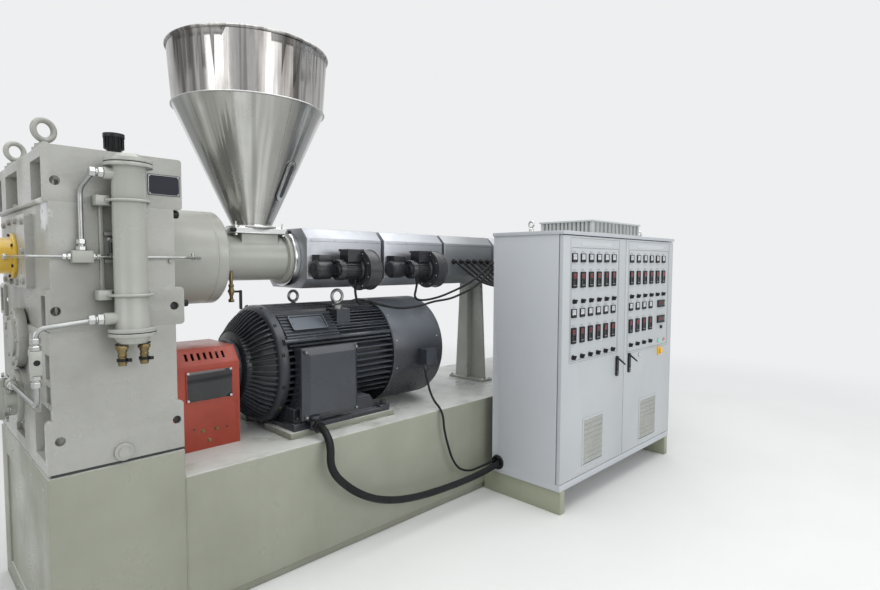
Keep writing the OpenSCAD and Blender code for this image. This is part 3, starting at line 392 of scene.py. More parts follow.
class Graph:
    """The nodes of one material, with its Principled shader at the end."""

    def __init__(self, name: str, roughness: float, metallic: float = 0.0) -> None:
        """Args:
        name: The material's name.
        roughness: Its plain roughness.
        metallic: Its plain metallic value.
        """
        self.material = bpy.data.materials.new(name)
        self.material.use_nodes = True
        self.tree = self.material.node_tree
        self.shader = self.tree.nodes["Principled BSDF"]
        self.shader.inputs["Roughness"].default_value = roughness
        self.shader.inputs["Metallic"].default_value = metallic
        self.place = self.tree.nodes.new("ShaderNodeTexCoord").outputs["Object"]

    def effect(self, group: Tree, **values: float) -> Socket:
        """Places a group and returns its output; underscores in names stand for spaces."""
        node = self.tree.nodes.new("ShaderNodeGroup")
        node.node_tree = group
        self.tree.links.new(self.place, node.inputs["Vector"])
        for label, value in values.items():
            node.inputs[label.replace("_", " ")].default_value = value
        return node.outputs[0]

    def scaled(self, value: Socket, share: float) -> Socket:
        """A mask times a share."""
        return Effects.math(self.tree, "MULTIPLY", value, share)

    def tint(self, base: Colour | Socket, over: Colour, mask: Socket) -> Socket:
        """Mixes a colour over base by a mask; base is a colour or a socket."""
        node = self.tree.nodes.new("ShaderNodeMix")
        node.data_type = "RGBA"
        if isinstance(base, tuple):
            node.inputs[6].default_value = (*base, 1)
        else:
            self.tree.links.new(base, node.inputs[6])
        node.inputs[7].default_value = (*over, 1)
        self.tree.links.new(mask, node.inputs[0])
        return node.outputs[2]

    def blend(self, mask: Socket, low: float, high: float) -> Socket:
        """A value that goes from low to high with a mask."""
        node = self.tree.nodes.new("ShaderNodeMapRange")
        self.tree.links.new(mask, node.inputs["Value"])
        node.inputs["To Min"].default_value = low
        node.inputs["To Max"].default_value = high
        return node.outputs["Result"]

    def wire(self, socket: str, value: Socket) -> None:
        """Links a value to the shader."""
        self.tree.links.new(value, self.shader.inputs[socket])

    def bump(self, height: Socket, distance: float) -> None:
        """Feeds a height into the shader's normal."""
        node = self.tree.nodes.new("ShaderNodeBump")
        node.inputs["Strength"].default_value = 1.0
        node.inputs["Distance"].default_value = distance
        self.tree.links.new(height, node.inputs["Height"])
        self.wire("Normal", node.outputs["Normal"])


@dataclass(frozen=True)
class Finish:
    """A finish: what it is called, the record's slot, and how to make its material."""

    name: str
    slot: str

    made = {}

    def material(self) -> bpy.types.Material:
        """The material, made on first use."""
        if self.name not in Finish.made:
            Finish.made[self.name] = self.make()
        return Finish.made[self.name]

    def make(self) -> bpy.types.Material:
        """Builds the material."""
        raise NotImplementedError


@dataclass(frozen=True)
class Paint(Finish):
    """Paint or moulded plastic, with tone, grain, dust, runs, worn edges and painted shade in recesses."""

    colour: Colour = (0.5, 0.5, 0.5)
    shade: Colour = (0.4, 0.4, 0.4)
    tone: float = 0.5
    tone_scale: float = 2.5
    rough: float = 0.45
    rough_spread: float = 0.15
    coarse: float = 60.0
    fine: float = 400.0
    height: float = 0.0004
    dust: float = 0.0
    dust_reach: float = 0.6
    dust_colour: Colour = (0.62, 0.61, 0.56)
    runs: float = 0.0
    wear: float = 0.0
    wear_colour: Colour = (0.6, 0.6, 0.56)
    # Share and colour of the painted shade in corners and pockets.
    recess_shade: float = 0.0
    recess_shade_colour: Colour = (0.09, 0.09, 0.075)
    chip_spot: tuple = ()
    coat: float = 0.0
    shine: float = 0.5

    def make(self) -> bpy.types.Material:
        """Builds the paint."""
        graph = Graph(self.name, self.rough)
        cloud = graph.effect(Effects.cloud(), Scale=self.tone_scale, Low=0.35, High=0.7)
        colour = graph.tint(self.colour, self.shade, graph.scaled(cloud, self.tone))
        if self.runs:
            runs = graph.effect(Effects.runs())
            colour = graph.tint(colour, self.shade, graph.scaled(runs, self.runs))
        # Painted shade: darkens corners and pockets that the ambient occlusion finds closed in.
        if self.recess_shade:
            recess_shade = graph.effect(Effects.painted_recess_shade())
            colour = graph.tint(colour, self.recess_shade_colour, graph.scaled(recess_shade, self.recess_shade))
        if self.chip_spot:
            x, y, z = self.chip_spot
            colour = graph.tint(colour, self.wear_colour, graph.effect(Effects.chipped(), X=x, Y=y, Z=z))
        if self.wear:
            worn = graph.effect(Effects.edge_wear())
            colour = graph.tint(colour, self.wear_colour, graph.scaled(worn, self.wear))
        if self.dust:
            dust = graph.effect(Effects.dust(), Reach=self.dust_reach)
            colour = graph.tint(colour, self.dust_colour, graph.scaled(dust, self.dust))
        graph.wire("Base Color", colour)
        low = max(self.rough - self.rough_spread, 0.05)
        graph.wire("Roughness", graph.blend(cloud, low, self.rough + self.rough_spread))
        graph.shader.inputs["Specular IOR Level"].default_value = self.shine
        if self.coat:
            graph.shader.inputs["Coat Weight"].default_value = self.coat
            graph.shader.inputs["Coat Roughness"].default_value = 0.12
        graph.bump(graph.effect(Effects.grain(), Coarse=self.coarse, Fine=self.fine), self.height)
        return graph.material


@dataclass(frozen=True)
class Steel(Finish):
    """Bare metal, ground along one axis; streak adds painted reflections, dark streaks round Z."""

    colour: Colour = (0.7, 0.7, 0.7)
    shade: Colour = (0.55, 0.55, 0.54)
    rough: float = 0.28
    lines: tuple[float, float, float] = (4.0, 300.0, 300.0)
    height: float = 0.00008
    smudge: float = 0.35
    smudge_scale: float = 3.0
    # Share, colour and round scale of the painted reflections.
    streak: float = 0.0
    reflection_colour: Colour = (0.05, 0.05, 0.05)
    reflections_round: float = 3.0

    def make(self) -> bpy.types.Material:
        """Builds the metal."""
        graph = Graph(self.name, self.rough, 1.0)
        x, y, z = self.lines
        lines = graph.effect(Effects.brushing(), X_lines=x, Y_lines=y, Z_lines=z)
        cloud = graph.effect(Effects.cloud(), Scale=self.smudge_scale, Low=0.4, High=0.75)
        colour = graph.tint(self.colour, self.shade, graph.scaled(lines, 0.6))
        colour = graph.tint(colour, self.shade, graph.scaled(cloud, self.smudge))
        # Painted reflections: dark streaks at two scales stand for what the mirror-like sheet reflects.
        if self.streak:
            for fine, share in ((1.0, self.streak), (3.5, self.streak * 0.55)):
                reflections = graph.effect(Effects.painted_reflections(), Round=self.reflections_round * fine)
                colour = graph.tint(colour, self.reflection_colour, graph.scaled(reflections, share))
        graph.wire("Base Color", colour)
        graph.wire("Roughness", graph.blend(cloud, self.rough, self.rough + 0.16))
        graph.bump(lines, self.height)
        return graph.material


@dataclass(frozen=True)
class Clear(Finish):
    """Dark glass or smoked acrylic, seen as a glossy tinted sheet."""

    colour: Colour = (0.02, 0.02, 0.025)
    rough: float = 0.08
    coat: float = 0.8

    def make(self) -> bpy.types.Material:
        """Builds the pane."""
        graph = Graph(self.name, self.rough)
        cloud = graph.effect(Effects.cloud(), Scale=7.0, Low=0.3, High=0.8)
        graph.wire("Base Color", graph.tint(self.colour, tuple(min(c * 2.6 + 0.01, 1) for c in self.colour),
                                            cloud))
        graph.shader.inputs["Coat Weight"].default_value = self.coat
        graph.shader.inputs["Coat Roughness"].default_value = 0.04
        return graph.material


class Palette:
    """Every finish of the object."""

    MACHINE = Paint("Machine enamel", "machine_paint", colour=srgb(167, 168, 160), shade=srgb(150, 151, 143),
                    tone=0.6, rough=0.36, coarse=25, fine=260, height=0.0003, dust=0.35, runs=0.2, wear=0.3,
                    coat=0.15, recess_shade=0.6)
    # Same machine paint as MACHINE; its darker colour is painted shade for the shaded lower bench.
    BENCH = Paint("Bench enamel with painted shade", "machine_paint", colour=srgb(147, 149, 135), shade=srgb(131, 133, 119),
                  tone=0.7, tone_scale=1.6, rough=0.4, coarse=18, fine=220, height=0.0003, dust=0.85,
                  dust_colour=srgb(212, 214, 210), runs=0.35, wear=0.35, recess_shade=0.6)
    CAST = Paint("Cast case enamel", "cast_paint", colour=srgb(164, 164, 158), shade=srgb(146, 146, 139),
                 tone=0.7, tone_scale=3.0, rough=0.4, coarse=70, fine=420, height=0.0011, dust=0.35,
                 dust_colour=srgb(190, 190, 182), runs=0.3, wear=0.55, wear_colour=srgb(212, 214, 214),
                 recess_shade=0.75, chip_spot=(-1.046, -0.430, 1.700))
    BEAM = Paint("Beam enamel", "beam_paint", colour=srgb(152, 156, 136), shade=srgb(138, 142, 122),
                 tone=0.5, rough=0.45, dust=0.5, runs=0.2, wear=0.3)
    CABINET = Paint("Cabinet powder coat", "cabinet_paint", colour=srgb(186, 190, 194),
                    shade=srgb(177, 181, 186), tone=0.4, tone_scale=1.2, rough=0.5, rough_spread=0.06,
                    coarse=500, fine=1400, height=0.00012)
    DOOR = Paint("Door powder coat", "door_paint", colour=srgb(184, 188, 190), shade=srgb(176, 180, 183),
                 tone=0.4, tone_scale=1.2, rough=0.46, rough_spread=0.06, coarse=500, fine=1400, height=0.00012)
    FRAME_STRIP = Paint("Pale panel strip", "door_paint", colour=srgb(196, 200, 202), shade=srgb(188, 192, 194),
                        tone=0.3, rough=0.4, height=0.0001)
    YELLOW = Paint("Guard yellow", "yellow_paint", colour=srgb(210, 172, 44), shade=srgb(188, 150, 36),
                   tone=0.5, rough=0.3, height=0.0002, dust=0.2, wear=0.25, coat=0.3)
    RED = Paint("Guard orange red", "red_paint", colour=srgb(164, 64, 44), shade=srgb(136, 48, 34),
                tone=0.6, rough=0.4, height=0.0003, dust=0.35, dust_colour=srgb(170, 110, 94), wear=0.3,
                wear_colour=srgb(205, 120, 100))
    MOTOR = Paint("Motor charcoal", "motor_paint", colour=srgb(46, 49, 55), shade=srgb(32, 34, 39),
                  tone=0.6, tone_scale=4, rough=0.34, coarse=90, fine=500, height=0.0006, dust=0.6,
                  dust_colour=srgb(108, 113, 120), dust_reach=0.3, wear=0.5, wear_colour=srgb(118, 122, 128))
    BLOWER = Paint("Blower black", "blower_paint", colour=srgb(36, 38, 42), shade=srgb(24, 25, 28),
                   tone=0.5, tone_scale=6, rough=0.34, coarse=120, fine=600, height=0.0004, dust=0.3,
                   dust_colour=srgb(88, 90, 94), wear=0.3, wear_colour=srgb(92, 95, 99))
    BLACK = Paint("Moulded black", "black_plastic", colour=srgb(24, 25, 27), shade=srgb(16, 16, 18),
                  tone=0.4, rough=0.42, coarse=300, fine=1200, height=0.0001, shine=0.3)
    WHITE_PLASTIC = Paint("Instrument white", "black_plastic", colour=srgb(208, 210, 212),
                          shade=srgb(192, 194, 198), tone=0.3, rough=0.35, height=0.00008)
    POLISHED = Steel("Polished sheet", "polished_steel", colour=srgb(226, 227, 226), shade=srgb(196, 197, 196),
                     rough=0.16, lines=(3.0, 260.0, 260.0), height=0.00004, smudge=0.3)
    # Painted reflections: the dark streaks on the mirror-like cone.
    HOPPER = Steel("Hopper sheet", "polished_steel", colour=srgb(216, 216, 213), shade=srgb(190, 190, 186),
                   rough=0.16, lines=(220.0, 220.0, 3.0), height=0.00005, smudge=0.3, streak=0.6,
                   reflection_colour=srgb(104, 103, 98), reflections_round=1.6)
    # The same sheet as the cone; its darker colour and strong dark streaks are painted reflections.
    HOPPER_SHELL = Steel("Hopper shell sheet", "polished_steel", colour=srgb(188, 186, 184),
                         shade=srgb(140, 137, 134), rough=0.14, lines=(220.0, 220.0, 3.0), height=0.00005,
                         smudge=0.4, streak=0.85, reflection_colour=srgb(74, 70, 67), reflections_round=3.4)
    ZINC = Steel("Zinc plate", "zinc_steel", colour=srgb(182, 184, 182), shade=srgb(142, 145, 143),
                 rough=0.3, lines=(60.0, 60.0, 60.0), smudge=0.5, smudge_scale=12)
    BARE = Steel("Machined steel", "bare_steel", colour=srgb(160, 160, 158), shade=srgb(120, 120, 118),
                 rough=0.34, lines=(30.0, 200.0, 200.0), smudge=0.5)
    BRASS = Steel("Dull brass", "brass_fitting", colour=srgb(150, 134, 96), shade=srgb(84, 74, 52),
                  rough=0.4, lines=(60.0, 60.0, 200.0), smudge=0.6, smudge_scale=20)
    SHEATH = Paint("Black cable sheath", "cable_rubber", colour=srgb(20, 21, 23), shade=srgb(12, 13, 14),
                   tone=0.5, tone_scale=9, rough=0.5, coarse=150, fine=700, height=0.0003, dust=0.15,
                   dust_colour=srgb(60, 60, 59), shine=0.25)
    SMOKED = Clear("Smoked acrylic", "smoked_window", colour=srgb(18, 19, 21), coat=0.25)
    PANE = Clear("Sight pane", "glass_pane", colour=srgb(38, 41, 38), rough=0.2, coat=0.15)
    LAMP_GREEN = Clear("Green lens", "black_plastic", colour=srgb(70, 190, 150))
    LAMP_RED = Clear("Red lens", "black_plastic", colour=srgb(190, 60, 50))
    STOP_YELLOW = Paint("Stop switch yellow", "yellow_paint", colour=srgb(236, 190, 60),
                        shade=srgb(214, 160, 40), rough=0.35, height=0.0001)
    DIGITS = Clear("Display red", "black_plastic", colour=srgb(158, 54, 58), coat=0.1)
    SCREEN = Clear("Display pane", "black_plastic", colour=srgb(20, 17, 22), coat=0.2)
    PLATE = Paint("Blank plate", "black_plastic", colour=srgb(26, 26, 40), shade=srgb(20, 20, 32), tone=0.4,
                  rough=0.45, height=0.00005, shine=0.2)
    COVER = Steel("Cover sheet", "polished_steel", colour=srgb(184, 187, 193), shade=srgb(154, 156, 159),
                  rough=0.44, lines=(3.0, 240.0, 240.0), height=0.00005, smudge=0.45)
    BRUSHED = Steel("Brushed cover sheet", "polished_steel", colour=srgb(160, 162, 164),
                    shade=srgb(130, 132, 135), rough=0.44, lines=(3.0, 420.0, 420.0), height=0.0001, smudge=0.4)
    BRIGHT = Steel("Bright zinc", "zinc_steel", colour=srgb(206, 207, 204), shade=srgb(168, 170, 167),
                   rough=0.22, lines=(60.0, 60.0, 60.0), smudge=0.4, smudge_scale=14)
    MOTOR_EDGE = Paint("Motor enamel, smooth", "motor_paint", colour=srgb(58, 62, 68), shade=srgb(44, 47, 52),
                       tone=0.5, tone_scale=5, rough=0.28, coarse=90, fine=500, height=0.0003, dust=0.3,
                       dust_colour=srgb(104, 108, 112), wear=0.5, wear_colour=srgb(126, 130, 134), coat=0.3)
    SHROUD = Paint("Shroud charcoal", "motor_paint", colour=srgb(44, 46, 51), shade=srgb(33, 35, 40),
                   tone=0.7, tone_scale=3, rough=0.4, coarse=120, fine=500, height=0.0002, dust=0.95,
                   dust_colour=srgb(126, 132, 140), dust_reach=-0.1, wear=0.2, wear_colour=srgb(118, 122, 126))
    BOX = Paint("Terminal box charcoal", "motor_paint", colour=srgb(50, 54, 61), shade=srgb(38, 41, 47),
                tone=0.5, tone_scale=3, rough=0.32, coarse=70, fine=500, height=0.0004, dust=0.3,
                dust_colour=srgb(104, 108, 112), wear=0.35, wear_colour=srgb(124, 128, 132), coat=0.25)
    BLOWER_RIM = Paint("Scroll black", "blower_paint", colour=srgb(50, 52, 55), shade=srgb(36, 38, 41),
                       tone=0.6, tone_scale=7, rough=0.3, coarse=90, fine=500, height=0.0002, dust=0.4,
                       dust_colour=srgb(112, 114, 114), wear=0.5, wear_colour=srgb(120, 122, 124))
    # Dark seams and joint lines; in the ear holes and the guard's small holes it is painted shade.
    DARK_LINE = Paint("Dark seam and painted shade", "black_plastic", colour=srgb(54, 55, 54), shade=srgb(36, 37, 36), tone=0.5,
                      rough=0.6)
    PANEL_LINE = Paint("Panel outline", "door_paint", colour=srgb(132, 135, 138), shade=srgb(120, 123, 126),
                       tone=0.4, rough=0.5)
    KEY_GREY = Paint("Key grey", "black_plastic", colour=srgb(150, 152, 156), shade=srgb(128, 130, 134),
                     tone=0.4, rough=0.5)
    LABEL = Paint("Blank label", "door_paint", colour=srgb(164, 168, 171), shade=srgb(152, 156, 159), tone=0.4,
                  rough=0.45)
    LOUVRE = Paint("Louvre grey", "door_paint", colour=srgb(172, 174, 168), shade=srgb(150, 151, 144), tone=0.5,
                   rough=0.5)
    VENT = Paint("Vent white", "cabinet_paint", colour=srgb(194, 197, 195), shade=srgb(182, 185, 183), tone=0.4,
                 rough=0.45, dust=0.3)
    # Cabinet paint made dark grey: painted shade behind the vent slats.
    VENT_SHADE = Paint("Vent mesh, painted shade", "cabinet_paint", colour=srgb(132, 135, 132), shade=srgb(112, 115, 112),
                       tone=0.5, rough=0.6)
    DUCT = Paint("Duct grey", "black_plastic", colour=srgb(150, 154, 158), shade=srgb(138, 142, 146), tone=0.3,
                 rough=0.5)
    DEVICE_WHITE = Paint("Breaker white", "black_plastic", colour=srgb(214, 216, 214),
                         shade=srgb(200, 202, 200), tone=0.3)
    DEVICE_GREY = Paint("Device grey", "black_plastic", colour=srgb(120, 124, 128), shade=srgb(104, 108, 112),
                        tone=0.4)
    DEVICE_DARK = Paint("Drive grey", "black_plastic", colour=srgb(66, 70, 76), shade=srgb(56, 60, 66),
                        tone=0.4)


# Meshes

LIFT: dict[Axis, Callable[[float, float, float], tuple]] = {
    Axis.X: lambda u, v, w: (w, u, v), Axis.Y: lambda u, v, w: (u, w, v), Axis.Z: lambda u, v, w: (u, v, w)}


def turned(axis: Vector) -> Matrix:
    """A rotation that takes +Z to an axis."""
    return axis.to_track_quat("Z", "Y").to_matrix().to_4x4()


def smooth_route(points: Sequence[Point], steps: int = 6) -> list[Vector]:
    """A Catmull-Rom line through points.

    Args:
        points: The points that the line passes.
        steps: Stretches between two of them.

    Returns:
        The points of the smooth line.
    """
    nodes = [Vector(p) for p in points]
    nodes = [nodes[0] * 2 - nodes[1], *nodes, nodes[-1] * 2 - nodes[-2]]
    line = []
    for a, b, c, d in zip(nodes, nodes[1:], nodes[2:], nodes[3:]):
        for k in range(steps):
            t = k / steps
            line.append(0.5 * (2 * b + (c - a) * t + (2 * a - 5 * b + 4 * c - d) * t * t
                               + (3 * b - a - 3 * c + d) * t ** 3))
    return [*line, nodes[-2]]


class Shape:
    """A mesh in the making, in metres of the row frame."""

    placed: list[str] = []

    def __init__(self) -> None:
        """Starts empty."""
        self.bm = bmesh.new()

    @classmethod
    def of_node(cls, node: str) -> "Shape":
        """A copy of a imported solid, with its flat faces joined up."""
        shape = cls()
        shape.bm.from_mesh(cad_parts[node].data)
        bmesh.ops.remove_doubles(shape.bm, verts=shape.bm.verts, dist=2e-5)
        bmesh.ops.dissolve_limit(shape.bm, angle_limit=math.radians(0.6), verts=shape.bm.verts,
                                 edges=shape.bm.edges)
        return shape

    def surface(self, rows: Sequence[Sequence[Point]], close: bool = False) -> "Shape":
        """Faces between rows of points; close joins the last of each row to its first."""
        made = [[self.bm.verts.new(p) for p in row] for row in rows]
        for low, high in zip(made, made[1:]):
            count = len(low)
            for i in range(count if close else count - 1):
                j = (i + 1) % count
                self.bm.faces.new((low[i], low[j], high[j], high[i]))
        return self

    def face(self, points: Sequence[Point]) -> "Shape":
        """One flat face."""
        self.bm.faces.new([self.bm.verts.new(p) for p in points])
        return self

    def prism(self, low: Sequence[Point], high: Sequence[Point]) -> "Shape":
        """A closed solid between two outlines of equal count."""
        a = [self.bm.verts.new(p) for p in low]
        b = [self.bm.verts.new(p) for p in high]
        count = len(a)
        for i in range(count):
            j = (i + 1) % count
            self.bm.faces.new((a[i], a[j], b[j], b[i]))
        self.bm.faces.new(a[::-1])
        self.bm.faces.new(b)
        return self

    def box(self, low: Point, high: Point) -> "Shape":
        """A block between two corners."""
        (x0, y0, z0), (x1, y1, z1) = low, high
        ring = ((x0, y0), (x1, y0), (x1, y1), (x0, y1))
        return self.prism([(x, y, z0) for x, y in ring], [(x, y, z1) for x, y in ring])

    def lathe(self, profile: Sequence[tuple[float, float]], origin: Point, axis: Vector,
              steps: int = 48) -> "Shape":
        """A turned body.

        Args:
            profile: Pairs of radius and place along the axis; it closes on the axis where the radius is 0.
            origin: Where the axis starts.
            axis: Its direction.
            steps: Faces round it.

        Returns:
            The shape.
        """
        matrix = Matrix.Translation(origin) @ turned(axis)
        rings = []
        for radius, along in profile:
            if radius < 1e-7:
                rings.append([self.bm.verts.new(matrix @ Vector((0, 0, along)))])
                continue
            rings.append([
                self.bm.verts.new(matrix @ Vector((radius * math.cos(a), radius * math.sin(a), along)))
                for a in (2 * math.pi * k / steps for k in range(steps))
            ])
        for low, high in zip(rings, rings[1:]):
            for k in range(steps):
                j = (k + 1) % steps
                loop = [low[k % len(low)], low[j % len(low)], high[j % len(high)], high[k % len(high)]]
                corners = list(dict.fromkeys(loop))
                if len(corners) > 2:
                    self.bm.faces.new(corners)
        return self

    def extrude(self, outline: Sequence[tuple[float, float]], axis: Axis, low: float, high: float) -> "Shape":
        """Pushes an outline along X, Y or Z; its points are given in the other two directions."""
        order = LIFT[axis]
        return self.prism([order(u, v, low) for u, v in outline], [order(u, v, high) for u, v in outline])

    def hoop(self, outer: Sequence[tuple], inner: Sequence[tuple], axis: Axis, low: float,
             high: float) -> "Shape":
        """A closed rim between an outer and an inner outline of equal count."""
        order = LIFT[axis]
        rings = [[self.bm.verts.new(order(u, v, w)) for u, v in line]
                 for line, w in ((outer, low), (outer, high), (inner, high), (inner, low))]
        for a, b in zip(rings, rings[1:] + rings[:1]):
            for i in range(len(a)):
                j = (i + 1) % len(a)
                self.bm.faces.new((a[i], a[j], b[j], b[i]))
        return self

    def nut(self, place: Point, axis: Vector, across: float, high: float) -> "Shape":
        """A chamfered hexagon nut."""
        r = across / math.sqrt(3)
        return self.lathe([(0, 0), (r * 0.87, 0), (r, high * 0.14), (r, high * 0.86), (r * 0.87, high),
                           (0, high)], place, axis, 6)

    def fasteners(self, kind: Head, seats: Iterable[Point], axis: Vector, size: float, high: float) -> "Shape":
        """One head on each seat; size is across flats for a hexagon and the radius for a cap screw."""
        maker = {Head.HEX: self.hex_bolt, Head.CAP: self.cap_screw}[kind]
        for seat in seats:
            maker(seat, axis, size, high)
        return self

    def moved(self, place: Matrix) -> "Shape":
        """The shape, taken to another place."""
        bmesh.ops.transform(self.bm, matrix=place, verts=self.bm.verts)
        return self

    def join(self, other: "Shape") -> "Shape":
        """Takes over another shape's mesh."""
        mesh = bpy.data.meshes.new("joined")
        other.bm.to_mesh(mesh)
        other.bm.free()
        self.bm.from_mesh(mesh)
        bpy.data.meshes.remove(mesh)
        return self

    def bar(self, start: Point, end: Point, radius: float, steps: int = 24, edge: float = 0.0) -> "Shape":
        """A round bar with softened ends."""
        axis = Vector(end) - Vector(start)
        run = axis.length
        soft = edge or min(radius * 0.12, run * 0.2)
        return self.lathe([(0, 0), (radius - soft, 0), (radius, soft), (radius, run - soft),
                           (radius - soft, run), (0, run)], start, axis, steps)

    def tube(self, points: Sequence[Point], radius: float, sides: int = 12) -> "Shape":
        """A round tube that follows points, closed at both ends."""
        line = [Vector(p) for p in points]
        side = None
        rings = []
        for i, centre in enumerate(line):
            ahead = (line[min(i + 1, len(line) - 1)] - line[max(i - 1, 0)]).normalized()
            if side is None:
                side = ahead.orthogonal().normalized()
            side = (side - ahead * side.dot(ahead)).normalized()
            up = ahead.cross(side)
            rings.append([
                self.bm.verts.new(centre + radius * (math.cos(a) * side + math.sin(a) * up))
                for a in (2 * math.pi * k / sides for k in range(sides))
            ])
        for low, high in zip(rings, rings[1:]):
            for k in range(sides):
                j = (k + 1) % sides
                self.bm.faces.new((low[k], low[j], high[j], high[k]))
        self.bm.faces.new(rings[0][::-1])
        self.bm.faces.new(rings[-1])
        return self

    def hex_bolt(self, seat: Point, axis: Vector, across: float = 0.024, high: float = 0.012) -> "Shape":
        """A washer and a chamfered hexagon head on a seat."""
        r = across / math.sqrt(3)
        w = high * 0.2
        self.lathe([(0, 0), (r * 1.18, 0), (r * 1.18, w * 0.7), (r * 1.1, w), (0, w)], seat, axis, 20)
        return self.lathe([(0, w), (r, w), (r, high * 0.86 + w), (r * 0.84, high + w), (0, high + w)], seat,
                          axis, 6)

    def cap_screw(self, seat: Point, axis: Vector, radius: float = 0.009, high: float = 0.009) -> "Shape":
        """A round head with a hexagon socket."""
        self.lathe([(0, 0), (radius, 0), (radius, high * 0.85), (radius * 0.9, high), (radius * 0.55, high)],
                   seat, axis, 18)
        return self.lathe([(radius * 0.55, high), (radius * 0.5, high * 0.45), (0, high * 0.45)], seat, axis, 6)

    def dome_screw(self, seat: Point, axis: Vector, radius: float = 0.005, high: float = 0.003) -> "Shape":
        """A low domed head."""
        return self.lathe([(0, 0), (radius, 0), (radius * 0.95, high * 0.4), (radius * 0.6, high * 0.85),
                           (0, high)], seat, axis, 14)

    def clear(self, inside: Callable[[Vector], bool]) -> "Shape":
        """Takes away the faces whose middle the test accepts."""
        bmesh.ops.delete(self.bm, geom=[f for f in self.bm.faces if inside(f.calc_center_median())],
                         context="FACES")
        return self

    def round_edges(self, width: float, segments: int = 2, above: float = 28.0) -> "Shape":
        """Rounds the edges that bend by more than an angle in degrees."""
        sharp = [e for e in self.bm.edges
                 if len(e.link_faces) == 2 and e.calc_face_angle(0) > math.radians(above)]
        if sharp:
            bmesh.ops.bevel(self.bm, geom=sharp, offset=width, segments=segments, profile=0.5, affect="EDGES",
                            clamp_overlap=True)
        return self

    def place(self, name: str, finish: Finish, body: Body = Body.FRAME, smooth: float = 32.0,
              stands_for: Iterable[str] = ()) -> bpy.types.Object:
        """Turns the shape into a piece.

        Args:
            name: The piece's name.
            finish: What it is made of.
            body: The body it rides on.
            smooth: Edges under this angle shade smoothly, in degrees.
            stands_for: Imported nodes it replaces.

        Returns:
            The piece.
        """
        bmesh.ops.recalc_face_normals(self.bm, faces=self.bm.faces)
        mesh = bpy.data.meshes.new(name)
        self.bm.to_mesh(mesh)
        self.bm.free()
        mesh.shade_smooth()
        mesh.set_sharp_from_angle(angle=math.radians(smooth))
        mesh.materials.append(finish.material())
        piece = bpy.data.objects.new(name, mesh)
        bpy.context.scene.collection.objects.link(piece)
        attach(piece, body.value)
        if stands_for:
            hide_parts(*stands_for)
        Shape.placed.append(name)
        return piece


def rounded(node: str, finish: Finish, width: float, body: Body = Body.FRAME, segments: int = 2,
            above: float = 28.0) -> bpy.types.Object:
    """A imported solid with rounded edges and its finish, in the solid's place."""
    shape = Shape.of_node(node).round_edges(width, segments, above)
    return shape.place(f"{node}_dressed", finish, body, stands_for=(node,))


# The studio


